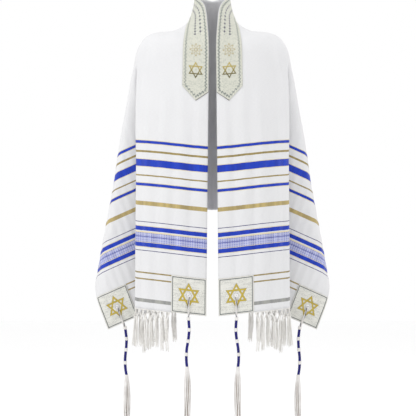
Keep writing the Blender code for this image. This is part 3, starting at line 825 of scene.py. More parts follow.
sheen_streaks = times(times_plus(sheen_streaks, STREAK_CONTRAST, STREAK_CUT, clamp=True), satin)
sheen_highlit = mixed(1.0, colour, SHEEN_HIGHLIGHT, "MULTIPLY")
dark = mixed(satin, colour, mixed(1.0, colour, SHEEN_SHADE, "MULTIPLY"))
colour = mixed(sheen_streaks, dark, sheen_highlit)
print("stripes coloured")

# %% [markdown]
# The bump holds what is finest: the weave, the thick spots of the yarn, the raised satin, and the machine
# stitches of the turned hem, which sink in. The white also varies a little from place to place, as a
# cloth does that has been folded and worn.

# %% Weave and hem of the shawl cloth
THREADS_PER_M = 1600.0
HEM_SEAM = (0.0075, 0.0087)
STITCH_WAVE, STITCH_GAP, STITCH_DEPTH = 2400.0, -0.4, -1.2
YARN_SCALE, YARN_SHADE, YARN_HEIGHT = 160.0, 0.16, 0.9
WORN_SCALE, WORN_SHADE, DARKEST = 9.0, 0.06, 0.89
SATIN_GLOSS, ROUGHNESS, SATIN_HEIGHT = -0.36, 0.84, 0.8
threads = use_group(weave_group, Place=place, Threads=THREADS_PER_M)
yarn = use_group(yarn_group, Place=place, Scale=YARN_SCALE)
shade = times_plus(noise(place, WORN_SCALE), WORN_SHADE, times_plus(yarn, YARN_SHADE, DARKEST))
link(mixed(1.0, colour, shade, "MULTIPLY"), shader.inputs["Base Color"])
link(times_plus(satin, SATIN_GLOSS, ROUGHNESS), shader.inputs["Roughness"])
from_edge = smaller(smaller(v, minus(WIDTH, v)), from_hem)
dashes = over(sine(times(plus(u, v), STITCH_WAVE)), STITCH_GAP)
stitches = times(within(from_edge, *HEM_SEAM), dashes)
height = times_plus(stitches, STITCH_DEPTH, threads)
height = times_plus(satin, SATIN_HEIGHT, times_plus(yarn, YARN_HEIGHT, height))
add_bump(shader, height)
print(f"{cloth_finish.name}: {len(tree.nodes)} nodes")

# %% [markdown]
# ## The shawl cloth
# The cloth is a shell 1.2 mm thick, a little thicker along its turned hems. Its grid is close where the
# side folds and round the eyelets, and wider on the flat fronts. At each eyelet a few cells are taken
# out, and the points round the hole are moved onto its circle.

# %% The shawl cloth
SKIN, HEM_SKIN = 0.0006, 0.0004
HEM_WIDTH, HEM_SLOPE = 0.0068, 0.0014
CLOSE_FROM_V = 0.19
EYELET_LINES = np.array([-0.0062, -0.0045, -0.003, -0.0015, 0.0, 0.0015, 0.003, 0.0045, 0.0062])
EYELET_CLEAR, HOLE_CELLS = 0.0085, 0.0042


def grid_lines(ends, counts, centres):
    """Grid lines over two stretches, with extra ones close round each centre."""
    first, second = (np.linspace(*ends[i : i + 2], counts[i]) for i in (0, 1))
    values = np.concatenate([first, second[1:]])
    for centre in centres:
        values = values[np.abs(values - centre) > EYELET_CLEAR]
        values = np.concatenate([values, centre + EYELET_LINES])
    return np.sort(values)


half_u = grid_lines((0.0, TIP_U, HALF_LENGTH), (32, 88), [EYELET_U])
line_u = np.concatenate([-half_u[:0:-1], half_u])
line_v = grid_lines((0.0, CLOSE_FROM_V, WIDTH), (34, 104), EYELETS_V)
grid_u, grid_v = np.meshgrid(line_u, line_v, indexing="ij")
quads = grid_quads(*grid_u.shape)
flat_u, flat_v = grid_u.ravel(), grid_v.ravel()
for end in (-1, 1):
    for eyelet_v in EYELETS_V:
        off_u, off_v = flat_u - end * EYELET_U, flat_v - eyelet_v
        gone = np.hypot(off_u[quads].mean(axis=1), off_v[quads].mean(axis=1)) < HOLE_CELLS
        rim = np.intersect1d(quads[gone], quads[~gone])
        scale = EYELET_RADIUS / np.hypot(off_u[rim], off_v[rim])
        flat_u[rim] = end * EYELET_U + off_u[rim] * scale
        flat_v[rim] = eyelet_v + off_v[rim] * scale
        quads = quads[~gone]
grid_u, grid_v = flat_u.reshape(grid_u.shape), flat_v.reshape(grid_v.shape)
points, normals = cloth_grid(grid_u, grid_v)
from_edge = np.minimum(np.minimum(grid_v, WIDTH - grid_v), HALF_LENGTH - np.abs(grid_u))
thick = (SKIN + HEM_SKIN * (1 - smooth((from_edge - HEM_WIDTH) / HEM_SLOPE)))[..., None]
cloth = add_shell("striped_cloth", points, normals, (thick, -thick), quads, (grid_u, grid_v), cloth_finish)
declare(cloth, "shawl_cloth")
print(f"cloth: {len(cloth.data.polygons)} faces")

# %% [markdown]
# ## The satin of the corner patches
# The patch's ground is figured with small leaves, which a cell pattern gives, thinned out by a slow
# noise. A dark line runs inside its edge. The gold star is drawn twice, first a little wider and
# darker, so that it has the rim that satin stitch leaves. Its gold is a painted highlight and painted
# shade, mixed by a slow noise.

# %% Patch satin
STAR_RADIUS, STAR_LINE, STAR_RIM = 0.0272, 0.0035, 0.0046
BORDER, MARGIN_COLOUR = (0.0414, 0.0436), (0.72, 0.71, 0.66)
BORDER_COLOUR, RIM_COLOUR = (0.13, 0.145, 0.145), (0.24, 0.19, 0.06)
GOLD_HIGHLIT, GOLD_SHADED = (0.70, 0.52, 0.06), (0.32, 0.25, 0.04)
VEIN_SCALE, VEIN_WIDTH, CLOUD_SCALE, CLOUD_CUT = 230.0, 0.11, 28.0, 0.47
STAR_HEIGHT, FIGURE_HEIGHT, BORDER_HEIGHT = 2.4, 0.8, 1.2
patch_finish, tree, shader = new_fabric("figured ivory satin", roughness=0.5, sheen=0.1)
u, v, place = flat_place(tree)
centre_v = times_plus(over(v, WIDTH / 2), EYELETS_V[1] - EYELETS_V[0], EYELETS_V[0])
at_eyelet = dict(Place=place, Centre_U=EYELET_U, Centre_V=centre_v, Radius=STAR_RADIUS)
star = use_group(star_group, Line=STAR_LINE, **at_eyelet)
rim = use_group(star_group, Line=STAR_RIM, **at_eyelet)
clouds = use_group(yarn_group, Place=place, Scale=CLOUD_SCALE)
veins = under(cells(place, VEIN_SCALE, "DISTANCE_TO_EDGE"), VEIN_WIDTH)
figure = times(veins, over(clouds, CLOUD_CUT))
from_middle = larger(apart(u, EYELET_U), apart(v, centre_v))
border = within(from_middle, *BORDER)
colour = mixed(figure, (0.73, 0.725, 0.675), (0.58, 0.58, 0.54))
margin = over(from_middle, BORDER[1])
for mask, shade in ((margin, MARGIN_COLOUR), (border, BORDER_COLOUR), (rim, RIM_COLOUR)):
    colour = mixed(mask, colour, shade)
# Painted highlight and shade: the star's gold is mixed between a lit and a shaded copy by a slow noise.
star_gold_lit_and_shaded = mixed(clouds, GOLD_HIGHLIT, GOLD_SHADED)
link(mixed(star, colour, star_gold_lit_and_shaded), shader.inputs["Base Color"])
link(times_plus(star, -0.12, 0.52), shader.inputs["Roughness"])
threads = use_group(weave_group, Place=place, Threads=THREADS_PER_M)
raised = larger(times(star, STAR_HEIGHT), times(figure, FIGURE_HEIGHT))
raised = times_plus(border, BORDER_HEIGHT, raised)
add_bump(shader, plus(raised, threads))
print(f"{patch_finish.name}: {len(tree.nodes)} nodes")

# %% [markdown]
# ## Corner patches
# Each corner is strengthened with a square of that satin, sewn on all round. Its grid runs in rings from
# the eyelet outwards, so that the hole is round and the edge is straight. It lies on the cloth, because
# its points are the cloth's own, moved out.

# %% Corner patches
ON_CLOTH = (0.0020, 0.00115)
PATCH_RINGS, PATCH_TURNS = 22, 96
EDGE_TURN_IN = 0.0004
SIDES = (("right", 1), ("left", -1))
CORNERS = tuple(zip(("inner", "outer"), EYELETS_V))
turn = np.arange(PATCH_TURNS) * 2 * math.pi / PATCH_TURNS
circle = np.stack([np.cos(turn), np.sin(turn)], axis=-1)
square = circle / np.abs(circle).max(axis=1)[:, None]
ring_share = np.linspace(0.0, 1.0, PATCH_RINGS)[:, None, None]
half_patch = PATCH / 2
ring_places = (1 - ring_share) * EYELET_RADIUS * circle + ring_share * (half_patch - EDGE_TURN_IN) * square
ring_u, ring_v = ring_places[..., 0].ravel(), ring_places[..., 1].ravel()
ring_ids = np.arange(PATCH_RINGS * PATCH_TURNS).reshape(PATCH_RINGS, PATCH_TURNS)
next_ids = np.roll(ring_ids, -1, axis=1)
ring_quads = np.stack([ring_ids[:-1], ring_ids[1:], next_ids[1:], next_ids[:-1]], axis=-1).reshape(-1, 4)
for side_name, sign in SIDES:
    for which, eyelet_v in CORNERS:
        place_u, place_v = EYELET_U + ring_u, eyelet_v + ring_v
        points, normals, _ = cloth_frame(place_u, place_v)
        patch = add_shell(
            f"satin_patch_{side_name}_{which}", points, normals, ON_CLOTH, ring_quads,
            (place_u, place_v), patch_finish, sign,
        )
        declare(patch, f"corner_patch_{side_name}_{which}")
print(f"4 corner patches of {len(patch.data.polygons)} faces")

# %% [markdown]
# ## The satin of the neck band
# A grey zigzag runs inside the band's edge. Two rows of small diamonds stand at the collar, then come a
# gold rosette and an outlined star on each end. All of these are worked out from the flat place, the
# distance from the edge and the way along the edge, which the mesh carries as attributes.

# %% Zigzag, diamonds and rosette of the band
BAND_WIDTH = 0.067
BAND_END = ((0.355, 0.0), (0.379, 0.033), (0.346, 0.067))
BAND_MIDDLE = BAND_WIDTH / 2
TOOTH, ZIGZAG_INSET, ZIGZAG_LINE = 0.0042, 0.0050, 0.0012
DIAMOND_ROWS, DIAMOND_SIZE, DIAMONDS_END = ((0.0215, 0.0056), (0.0375, 0.0044)), 0.0036, 0.212
ROSETTE_U, ROSETTE_RADIUS, PETALS, PETAL_DEPTH, PETAL_LINE = 0.252, 0.0115, 8.0, 0.0035, 0.0014
ROSETTE_RING = (0.0030, 0.0052)
BAND_STAR_U, BAND_STAR_RADIUS, BAND_STAR_LINE = 0.303, 0.0186, 0.0028
band_finish, tree, shader = new_fabric("ivory satin with zigzag", roughness=0.5, sheen=0.1)
u, v, place = flat_place(tree)
teeth = plus(back_and_forth(attribute(tree, "along_edge"), TOOTH), ZIGZAG_INSET)
neck_side = under(v, BAND_MIDDLE)
zigzag_line = times_plus(neck_side, ZIGZAG_LINE / 2, ZIGZAG_LINE)
zigzag = under(apart(attribute(tree, "from_edge"), teeth), zigzag_line)
diamonds = []
for row_v, pitch in DIAMOND_ROWS:
    step = back_and_forth(plus(u, row_v), pitch)
    diamonds.append(under(plus(step, apart(v, row_v)), DIAMOND_SIZE))
diamonds = times(larger(*diamonds), under(u, DIAMONDS_END))
petal_u, petal_v = minus(u, ROSETTE_U), minus(v, BAND_MIDDLE)
radius = maths("SQRT", times_plus(petal_u, petal_u, times(petal_v, petal_v)))
turns = times(maths("ARCTAN2", petal_u, petal_v), PETALS)
petal_edge = times_plus(maths("COSINE", turns), PETAL_DEPTH, ROSETTE_RADIUS)
petals = under(apart(radius, petal_edge), PETAL_LINE)
rosette = larger(petals, within(radius, *ROSETTE_RING))
at_star = dict(Place=place, Centre_U=BAND_STAR_U, Centre_V=BAND_MIDDLE, Radius=BAND_STAR_RADIUS)
star = use_group(star_group, Line=BAND_STAR_LINE, **at_star)
print("band marks: zigzag, diamonds, rosette, star")

# %% [markdown]
# The ground under the marks is a fleck pattern, thinned out as on the patches. Each mark is laid over
# it in turn and raised a little, as embroidery is.

# %% Colours and threads of the band
FLECK_SCALE, FLECK_SIZE, BAND_CLOUD_SCALE, BAND_CLOUD_CUT = 380.0, 0.40, 34.0, 0.45
ZIGZAG_GREY, DIAMOND_INK, ROSETTE_GOLD = (0.20, 0.225, 0.21), (0.10, 0.10, 0.14), (0.42, 0.35, 0.18)
SHADE_FROM, SHADE_STEEPNESS, MARK_HEIGHT = 0.292, 45.0, 1.8
clouds = use_group(yarn_group, Place=place, Scale=BAND_CLOUD_SCALE)
flecks = times(under(cells(place, FLECK_SCALE), FLECK_SIZE), over(clouds, BAND_CLOUD_CUT))
colour = mixed(flecks, (0.63, 0.63, 0.55), (0.46, 0.48, 0.42))
for mask, shade in ((zigzag, ZIGZAG_GREY), (diamonds, DIAMOND_INK), (rosette, ROSETTE_GOLD)):
    colour = mixed(mask, colour, shade)
# Painted shade: the band star's gold darkens towards its lower half, from SHADE_FROM on.
shaded_lower_half = times(minus(u, SHADE_FROM), SHADE_STEEPNESS, clamp=True)
star_gold_shaded_below = mixed(shaded_lower_half, (0.45, 0.36, 0.10), (0.13, 0.115, 0.04))
link(mixed(star, colour, star_gold_shaded_below), shader.inputs["Base Color"])
threads = use_group(weave_group, Place=place, Threads=THREADS_PER_M)
marks = larger(larger(zigzag, diamonds), larger(rosette, star))
add_bump(shader, times_plus(marks, MARK_HEIGHT, threads))
print(f"{band_finish.name}: {len(tree.nodes)} nodes")

# %% [markdown]
# ## The neck band
# The band is one long strip with pointed ends, sewn along the neck edge and down both fronts. Its grid
# is a plain one, squeezed at each end to the outline of the point. It lies on the cloth as the patches
# do.

# %% The neck band
BAND_ROWS, BAND_COLUMNS = 241, 25
END_STRETCH = 1.3
(end_u, _), (point_u, point_v), (far_u, _) = BAND_END
across_v = np.linspace(EDGE_TURN_IN, BAND_WIDTH, BAND_COLUMNS)
end_at = np.interp(across_v, [0.0, point_v, BAND_WIDTH], [end_u, point_u, far_u])
band_u = np.linspace(-1.0, 1.0, BAND_ROWS)[:, None] * end_at
band_v = np.broadcast_to(across_v, band_u.shape)
slopes = (point_u - end_u) / point_v, (point_u - far_u) / (BAND_WIDTH - point_v)
slope = np.where(across_v < point_v, *slopes)
to_end = (end_at - np.abs(band_u)) / np.hypot(1.0, slope)
to_side = np.minimum(band_v, BAND_WIDTH - band_v)
along_edge = np.where(to_end < to_side, band_v * END_STRETCH, np.abs(band_u))
band = add_shell(
    "satin_band", *cloth_grid(band_u, band_v), ON_CLOTH, grid_quads(*band_u.shape), (band_u, band_v),
    band_finish, floats={"from_edge": np.minimum(to_end, to_side), "along_edge": along_edge},
)
declare(band, "neck_band")
print(f"band: {len(band.data.polygons)} faces")

# %% [markdown]
# ## Thread finishes
# Cords and stitches are plied yarn. A fine slanted wave along each thread gives the twist, and a slow
# noise keeps one thread from looking like the next.

# %% Thread finishes
PLY_WAVE = 1600.0


def thread_finish(name, light, dark):
    material, tree, shader = new_fabric(name, roughness=0.75, sheen=0.2)
    where = tree.nodes.new("ShaderNodeTexCoord").outputs["Object"]
    x, y, z = parts_of(where)
    plies = sine(times(plus(z, plus(x, y)), PLY_WAVE))
    link(mixed(noise(where, 55.0), dark, light), shader.inputs["Base Color"])
    add_bump(shader, plies, strength=0.4, depth=0.0003)
    return material


white_thread = thread_finish("white plied thread", (0.93, 0.92, 0.90), (0.74, 0.72, 0.68))
cord_thread = thread_finish("cord thread", (0.92, 0.91, 0.90), (0.66, 0.63, 0.60))
navy_thread = thread_finish("navy winding thread", (0.012, 0.010, 0.24), (0.004, 0.004, 0.09))
# Painted shade: this taupe finish stands for white strands in shade inside a tassel's brush.
shaded_strand_thread = thread_finish("strand in painted shade", (0.62, 0.55, 0.49), (0.42, 0.36, 0.32))
grey_thread = thread_finish("grey cord thread", (0.22, 0.22, 0.24), (0.10, 0.10, 0.12))
shadow_line_thread = thread_finish("dark thread of painted shadow line", (0.16, 0.15, 0.14), (0.07, 0.06, 0.06))
print("6 thread finishes")

# %% [markdown]
# ## Stitches
# Each trim is sewn down with a row of small stitches. They repeat, so Geometry Nodes sets them: a curve
# is resampled at the stitch spacing, and a small grain of thread is set on each point, turned along the
# curve.

# %% A tree for a row of stitches
stitch_tree = bpy.data.node_groups.new("row of stitches", "GeometryNodeTree")
for label, kind in (("Seam", "Geometry"), ("Spacing", "Float"), ("Length", "Float"),
                    ("Thread", "Float"), ("Material", "Material")):
    stitch_tree.interface.new_socket(label, in_out="INPUT", socket_type=f"NodeSocket{kind}")
stitch_tree.interface.new_socket("Stitches", in_out="OUTPUT", socket_type="NodeSocketGeometry")
given = stitch_tree.nodes.new("NodeGroupInput").outputs
out = stitch_tree.nodes.new("NodeGroupOutput").inputs
NODE_KINDS = {
    "curve": "GeometryNodeMeshToCurve",
    "spaced": "GeometryNodeResampleCurve",
    "grain": "GeometryNodeMeshUVSphere",
    "tangent": "GeometryNodeInputTangent",
    "turned": "FunctionNodeAlignRotationToVector",
    "size": "ShaderNodeCombineXYZ",
    "set on points": "GeometryNodeInstanceOnPoints",
    "mesh": "GeometryNodeRealizeInstances",
    "coloured": "GeometryNodeSetMaterial",
}
nodes = {name: stitch_tree.nodes.new(kind) for name, kind in NODE_KINDS.items()}
nodes["spaced"].mode = "LENGTH"
nodes["turned"].axis = "Z"
for label, value in (("Segments", 6), ("Rings", 4), ("Radius", 0.5)):
    nodes["grain"].inputs[label].default_value = value
for source, target, label in (
    (given["Seam"], "curve", "Mesh"),
    (nodes["curve"].outputs[0], "spaced", "Curve"),
    (given["Spacing"], "spaced", "Length"),
    (nodes["spaced"].outputs[0], "set on points", "Points"),
    (nodes["grain"].outputs["Mesh"], "set on points", "Instance"),
    (nodes["tangent"].outputs[0], "turned", "Vector"),
    (nodes["turned"].outputs[0], "set on points", "Rotation"),
    (given["Thread"], "size", 0),
    (given["Thread"], "size", 1),
    (given["Length"], "size", 2),
    (nodes["size"].outputs[0], "set on points", "Scale"),
    (nodes["set on points"].outputs[0], "mesh", 0),
    (nodes["mesh"].outputs[0], "coloured", "Geometry"),
    (given["Material"], "coloured", "Material"),
):
    link(source, nodes[target].inputs[label])
link(nodes["coloured"].outputs[0], out["Stitches"])
print(f"{stitch_tree.name}: {len(stitch_tree.nodes)} nodes")

# %% [markdown]
# The tree is used through a modifier on the seam's line. Its result is turned into a plain mesh, so that
# it can be exported, and the line is thrown away.

# %% Stitches on the patches and the band
STITCH_THREAD = 0.0007
PATCH_SEAM_INSET, BAND_SEAM_INSET = 0.0022, 0.0022
ABOVE_TRIM = ON_CLOTH[0] + 0.0002
MIRROR = np.array([-1.0, 1.0, 1.0])


def stitch_row(name, lines, spacing, length):
    """Stitches along each line of points, as one plain mesh."""
    points, edges = [], []
    for line in lines:
        edges += [(len(points) + i, len(points) + i + 1) for i in range(len(line) - 1)]
        points += [tuple(p) for p in line]
    mesh = bpy.data.meshes.new(name)
    mesh.from_pydata(points, edges, [])
    seam = add_object(f"{name}_seam", mesh)
    modifier = seam.modifiers.new("stitches", "NODES")
    modifier.node_group = stitch_tree
    values = {"Spacing": spacing, "Length": length, "Thread": STITCH_THREAD, "Material": white_thread}
    for item in stitch_tree.interface.items_tree:
        if item.in_out == "INPUT" and item.name in values:
            modifier[item.identifier] = values[item.name]
    made = seam.evaluated_get(bpy.context.evaluated_depsgraph_get())
    stitched = add_object(name, bpy.data.meshes.new_from_object(made))
    bpy.data.objects.remove(seam, do_unlink=True)
    stitched.data.polygons.foreach_set("use_smooth", np.ones(len(stitched.data.polygons), bool))
    declare(stitched)
    print(f"{name}: {len(stitched.data.polygons)} faces")


def seam_on_cloth(us, vs, height):
    """A line of points over the cloth and its mirror image."""
    point, normal, _ = cloth_frame(us, vs)
    line = point + height * normal
    return [line, line * MIRROR]


inset = half_patch - PATCH_SEAM_INSET
side, high = np.linspace(-inset, inset, 30), np.full(30, inset)
square_u = np.concatenate([side, high, side[::-1], -high])
square_v = np.concatenate([-high, side, high, side[::-1]])
patch_lines = []
for eyelet_v in EYELETS_V:
    patch_lines += seam_on_cloth(EYELET_U + square_u, eyelet_v + square_v, ABOVE_TRIM)
stitch_row("patch_stitches", patch_lines, 0.0036, 0.0026)

band_lines = []
for row_v, last in ((BAND_SEAM_INSET, end_u - 0.002), (BAND_WIDTH - 0.002, far_u - 0.003)):
    band_lines += seam_on_cloth(np.linspace(0.0, last, 120), np.full(120, row_v), ABOVE_TRIM)
for (u0, v0), (u1, v1) in zip(BAND_END, BAND_END[1:]):
    t = np.linspace(0.06, 0.94, 24)
    band_lines += seam_on_cloth(u0 + (u1 - u0) * t - BAND_SEAM_INSET, v0 + (v1 - v0) * t, ABOVE_TRIM)
stitch_row("band_stitches", band_lines, 0.0040, 0.0028)

# %% [markdown]
# ## Eyelets
# An eyelet is worked in buttonhole stitch: thread wound close round a ring. One wound ring lies on the
# patch and one on the cloth's other side. A thin dark cord along the inner edge of each of the band's
# points is a painted shadow line.

# %% Eyelet rings and the band's painted shadow line
RING_RADIUS, RING_WIRE, RING_THREAD = 0.0056, 0.0009, 0.00042
RING_WINDS, STEPS_A_WIND = 40, 7
RING_HEIGHTS = (ON_CLOTH[0] + 0.0003, -0.0008)


def wound_ring(line):
    """A thread wound round a closed line of points."""
    line = np.asarray(line[:-1])
    at = np.linspace(0.0, 1.0, RING_WINDS * STEPS_A_WIND)
    place = np.arange(len(line) + 1)
    closed = np.vstack([line, line[:1]])
    position = np.stack([np.interp(at * len(line), place, closed[:, k]) for k in range(3)], axis=-1)
    outward = unit(position - line.mean(axis=0))
    tangent = unit(np.gradient(position, axis=0))
    spin = 2 * math.pi * RING_WINDS * at[:, None]
    path = position + RING_WIRE * (np.cos(spin) * outward + np.sin(spin) * np.cross(tangent, outward))
    return tubes([path], RING_THREAD, 5, tangent.mean(axis=0) + np.array([0.3, 0.5, 0.8]))


turn = np.linspace(0.0, 2 * math.pi, 49)
ring_u, ring_v = EYELET_U + RING_RADIUS * np.cos(turn), RING_RADIUS * np.sin(turn)
ring_lines = []
for eyelet_v in EYELETS_V:
    for ring_height in RING_HEIGHTS:
        ring_lines += seam_on_cloth(ring_u, eyelet_v + ring_v, ring_height)
eyelet_rings = add_piece("eyelet_rings", *merged([wound_ring(line) for line in ring_lines]), white_thread)
declare(eyelet_rings)

# Painted shadow: a thin dark tube along the inner edge of each of the band's points.
t = np.linspace(0.0, 1.0, 24)
(u0, v0), (u1, v1) = BAND_END[:2]
shadow_lines = seam_on_cloth(u0 + (u1 - u0) * t + 0.0006, np.maximum(v0 + (v1 - v0) * t, 0.0008), 0.0016)
band_shadow_line = add_piece("band_painted_shadow_line", *tubes(shadow_lines, 0.0006, 6, (0.0, 1.0, 0.3)), shadow_line_thread)
declare(band_shadow_line)
print(f"{len(ring_lines)} wound rings and {len(shadow_lines)} dark edges")

# %% [markdown]
# ## Fringe
# The threads of the fringe leave the hem in groups. Each group is tied once at the hem and parts again.
# Its halves run slantwise to meet the halves of its neighbours, and a second row of knots ties them
# two centimetres down, which makes the lattice. Below it the threads hang loose. Each thread is one
# thin tube, bent by a seeded random sway, so the fringe is the same each time that it is made.

# %% One bundle of the fringe
BUNDLES, THREADS = 24, 8
FRINGE_MARGIN = 0.013
ROOT_DROP, KNOT_DROP, THREAD_LENGTH = 0.0050, 0.0235, 0.100
THREAD_STEPS = 21
THREAD_SHORTER, THREAD_LENGTHS = 0.05, (0.90, 1.0)
BUNDLE_RADIUS, FAN, FAN_SPREAD = 0.0013, (0.0034, 0.0026), (0.0016, 0.001)
BEND, SWAY, KNOT_SHIFT = 0.0022, 0.007, 0.0012
KNOT, ROOT_KNOT = (0.0025, 2.6, 0.0020), (0.0014, 1.8, 0.0012)
bundle_v = np.linspace(PATCH + FRINGE_MARGIN, WIDTH - PATCH - FRINGE_MARGIN, BUNDLES)
half_pitch = (bundle_v[1] - bundle_v[0]) / 2
thread_share = np.linspace(-1.0, 1.0, THREADS)
random = np.random.default_rng(41)
DOWN, LEVEL = np.array([0.0, 0.0, -1.0]), np.array([1.0, 1.0, 0.0])


def thread_path(k, start, root, knot, sideways, outward, length, sway):
    """A thread from the hem through its root and its knot, and loose below."""
    around = 2 * math.pi * k / THREADS
    close = BUNDLE_RADIUS * (math.cos(around) * sideways + math.sin(around) * outward)
    fan = (FAN[0] * math.cos(around) + random.uniform(-FAN_SPREAD[0], FAN_SPREAD[0])) * sideways
    fan = fan + (FAN[1] * math.sin(around) + random.uniform(-FAN_SPREAD[1], FAN_SPREAD[1])) * outward
    bend = random.uniform(-BEND, BEND)
    at_root = root + 0.3 * close
    path = []
    for drop in np.linspace(0.0, length * (1 - THREAD_SHORTER * (k % 3) / 2), THREAD_STEPS):
        if drop < ROOT_DROP:
            t = drop / ROOT_DROP
            p = start * (1 - t) + root * t + 0.3 * close * t
        elif drop < KNOT_DROP:
            t = (drop - ROOT_DROP) / (KNOT_DROP - ROOT_DROP)
            p = at_root * (1 - t) + (knot + close) * t
        else:
            t = (drop - KNOT_DROP) / (length - KNOT_DROP)
            p = knot + close + (fan - close) * t + (sway * t * t + bend * math.sin(3.0 * t)) * sideways
            p[2] = knot[2] - (drop - KNOT_DROP)
        path.append(p)
    return path


def wound_knot(centre, sideways, outward, radius, turns, height):
    spin = np.linspace(0.0, 2 * math.pi * turns, 24)[:, None]
    fall = np.linspace(height, -height, 24)[:, None]
    return centre + radius * (np.cos(spin) * sideways + np.sin(spin) * outward) + fall * DOWN


print(f"{BUNDLES} bundles {half_pitch * 2000:.1f} mm apart")

# %% [markdown]
# The bundles are set one after another along the hem, and a cord sewn along the hem carries them all.
# One end's fringe is made and then mirrored for the other end.

# %% Fringe on both ends
thread_paths, knot_paths, root_paths = [], [], []
for v_middle in bundle_v:
    length = THREAD_LENGTH * random.uniform(*THREAD_LENGTHS)
    hem_v = v_middle + np.sign(thread_share) * half_pitch + 0.0042 * (np.abs(thread_share) * 2 - 1)
    starts, _, _ = cloth_frame(np.full(THREADS, HALF_LENGTH - 0.001), hem_v)
    middle, normal, _ = cloth_frame(np.array([HALF_LENGTH]), np.array([v_middle]))
    sideways = unit((starts[-1] - starts[0]) * LEVEL)
    outward = np.array([sideways[1], -sideways[0], 0.0])
    outward *= np.sign(outward @ normal[0])
    knot = middle[0] + KNOT_DROP * DOWN + random.uniform(-KNOT_SHIFT, KNOT_SHIFT) * sideways
    sway = random.uniform(-SWAY, SWAY)
    root_v = np.array([v_middle - half_pitch, v_middle + half_pitch])
    roots = cloth_frame(np.full(2, HALF_LENGTH), root_v)[0] + ROOT_DROP * DOWN
    for k in range(THREADS):
        root = roots[k // (THREADS // 2)]
        thread_paths.append(thread_path(k, starts[k], root, knot, sideways, outward, length, sway))
    knot_paths.append(wound_knot(knot, sideways, outward, *KNOT))
    root_paths.append(wound_knot(roots[0], sideways, outward, *ROOT_KNOT))
root_paths.append(wound_knot(roots[1], sideways, outward, *ROOT_KNOT))
hem_v = np.linspace(PATCH + 0.002, WIDTH - PATCH - 0.002, 160)
hem_line = cloth_frame(np.full(160, HALF_LENGTH), hem_v)[0] + 0.0013 * DOWN
fringe_points, fringe_faces = merged([
    tubes(thread_paths, np.linspace(0.0009, 0.0007, THREAD_STEPS), 5, (0.0, 1.0, 0.0)),
    tubes(knot_paths, 0.0012, 6, (0.0, 0.0, 1.0)),
    tubes(root_paths, 0.0009, 6, (0.0, 0.0, 1.0)),
    tubes([hem_line], 0.0011, 6, (0.0, 0.0, 1.0)),
])
for side_name, sign in SIDES:
    fringe_mesh = for_side(sign, fringe_points, fringe_faces)
    fringe = add_piece(f"knotted_fringe_{side_name}", *fringe_mesh, white_thread)
    declare(fringe, f"fringe_{side_name}")
print(f"{len(thread_paths)} threads and {len(knot_paths)} knots on each end")

# %% [markdown]
# ## Corded tassels
# A bundle of white cords goes through each eyelet and comes back round the hem. Both ends are tied in a
# knot just below the hem. Below that, navy thread is wound round the cords between one white knot and
# the next, and the ends of the cords hang loose. Loops, knots, windings and strands are all tubes
# along lines, each with its own thickness.

# %% Loop through the eyelet
LOOP_PLACES = (
    # distance below the eyelet, distance from the cloth's middle
    (0.0570, 0.0012), (0.0500, 0.0040), (0.0405, 0.0048), (0.0240, 0.0052), (0.0060, 0.0049),
    (0.0018, 0.0045), (0.0001, 0.0030), (-0.0003, 0.0), (0.0003, -0.0024), (0.0022, -0.0034),
    (0.0055, -0.0037), (0.0240, -0.0037), (0.0405, -0.0036), (0.0500, -0.0031), (0.0570, -0.0012),
)
LOOP_STEPS, LOOP_CORDS, LOOP_TWISTS = 100, 4, 5.0
LOOP_CORD_RADIUS, LOOP_SPREAD, GREY_CORD = 0.00095, (0.0016, 0.0010), 2


def smooth_line(points, count):
    """More points on a smooth curve through a few."""
    points = np.asarray(points, float)
    table = np.column_stack([np.linspace(0.0, 1.0, len(points)), points])
    return along(table, np.linspace(0.0, 1.0, count))


def eyelet_loop(point, normal, down):
    """Cords twisted round each other, through the eyelet and round the hem."""
    sideways = np.cross(normal, down)
    loop = smooth_line([point + d * down + n * normal for d, n in LOOP_PLACES], LOOP_STEPS)
    loop_normal = unit(np.cross(np.gradient(loop, axis=0), sideways))
    cords = []
    for k in range(LOOP_CORDS):
        spin = (np.linspace(0.0, LOOP_TWISTS, LOOP_STEPS) + k / LOOP_CORDS)[:, None] * 2 * math.pi
        twist = LOOP_SPREAD[0] * np.cos(spin) * sideways + LOOP_SPREAD[1] * np.sin(spin) * loop_normal
        cords.append(tubes([loop + twist], LOOP_CORD_RADIUS, 6, sideways))
    return cords


print(f"{LOOP_CORDS} cords in each loop, number {GREY_CORD} of them grey")

# %% [markdown]
# Each part of the tassel below the loop is a small function: a knot of two ties of thick cord, a
# stretch wound with navy thread, and a brush of loose strands.

# %% Knots, windings and loose strands
ACROSS, FORWARD = np.array([1.0, 0.0, 0.0]), np.array([0.0, 1.0, 0.0])
TIE_TURNS, TIE_RADIUS, TIE_CORD, TIE_RISES = 1.9, 0.0032, 0.0018, (0.0017, -0.0019)
TIE_CORE, CORE_RADIUS, CORE_INSET = 0.0028, 0.0025, 0.003
WIND_PITCH, WIND_STEPS, WIND_INSET, LEAST_WINDS = 0.0017, 9, 0.0045, 6
WIND_RADIUS, WIND_THREAD = 0.0029, 0.00095
TASSEL_LENGTH, STRAND_STEPS, STRAND_RADII = 0.135, 17, (0.0015, 0.0013)
STRAND_LENGTHS, STRAND_SPREADS, STRAND_BEND = (0.92, 1.0), (0.75, 1.15), 0.0022


def round_cord(spin):
    """Points of a circle round a hanging cord, for an array of angles."""
    return np.cos(spin)[:, None] * ACROSS + np.sin(spin)[:, None] * FORWARD


def tied_knot(centre, way):
    parts = []
    spin = np.linspace(0.0, 2 * math.pi * TIE_TURNS, 30)
    for tie, rise in enumerate(TIE_RISES):
        lift = (rise + 0.0008 * np.sin(spin / 2))[:, None] * way
        path = centre + TIE_RADIUS * round_cord(spin + tie) - lift
        parts.append(tubes([path], TIE_CORD, 7, (0.0, 0.0, 1.0)))
    core = np.linspace(-0.005, 0.006, 6)[:, None] * way + centre
    return parts + [tubes([core], TIE_CORE, 8, FORWARD)]


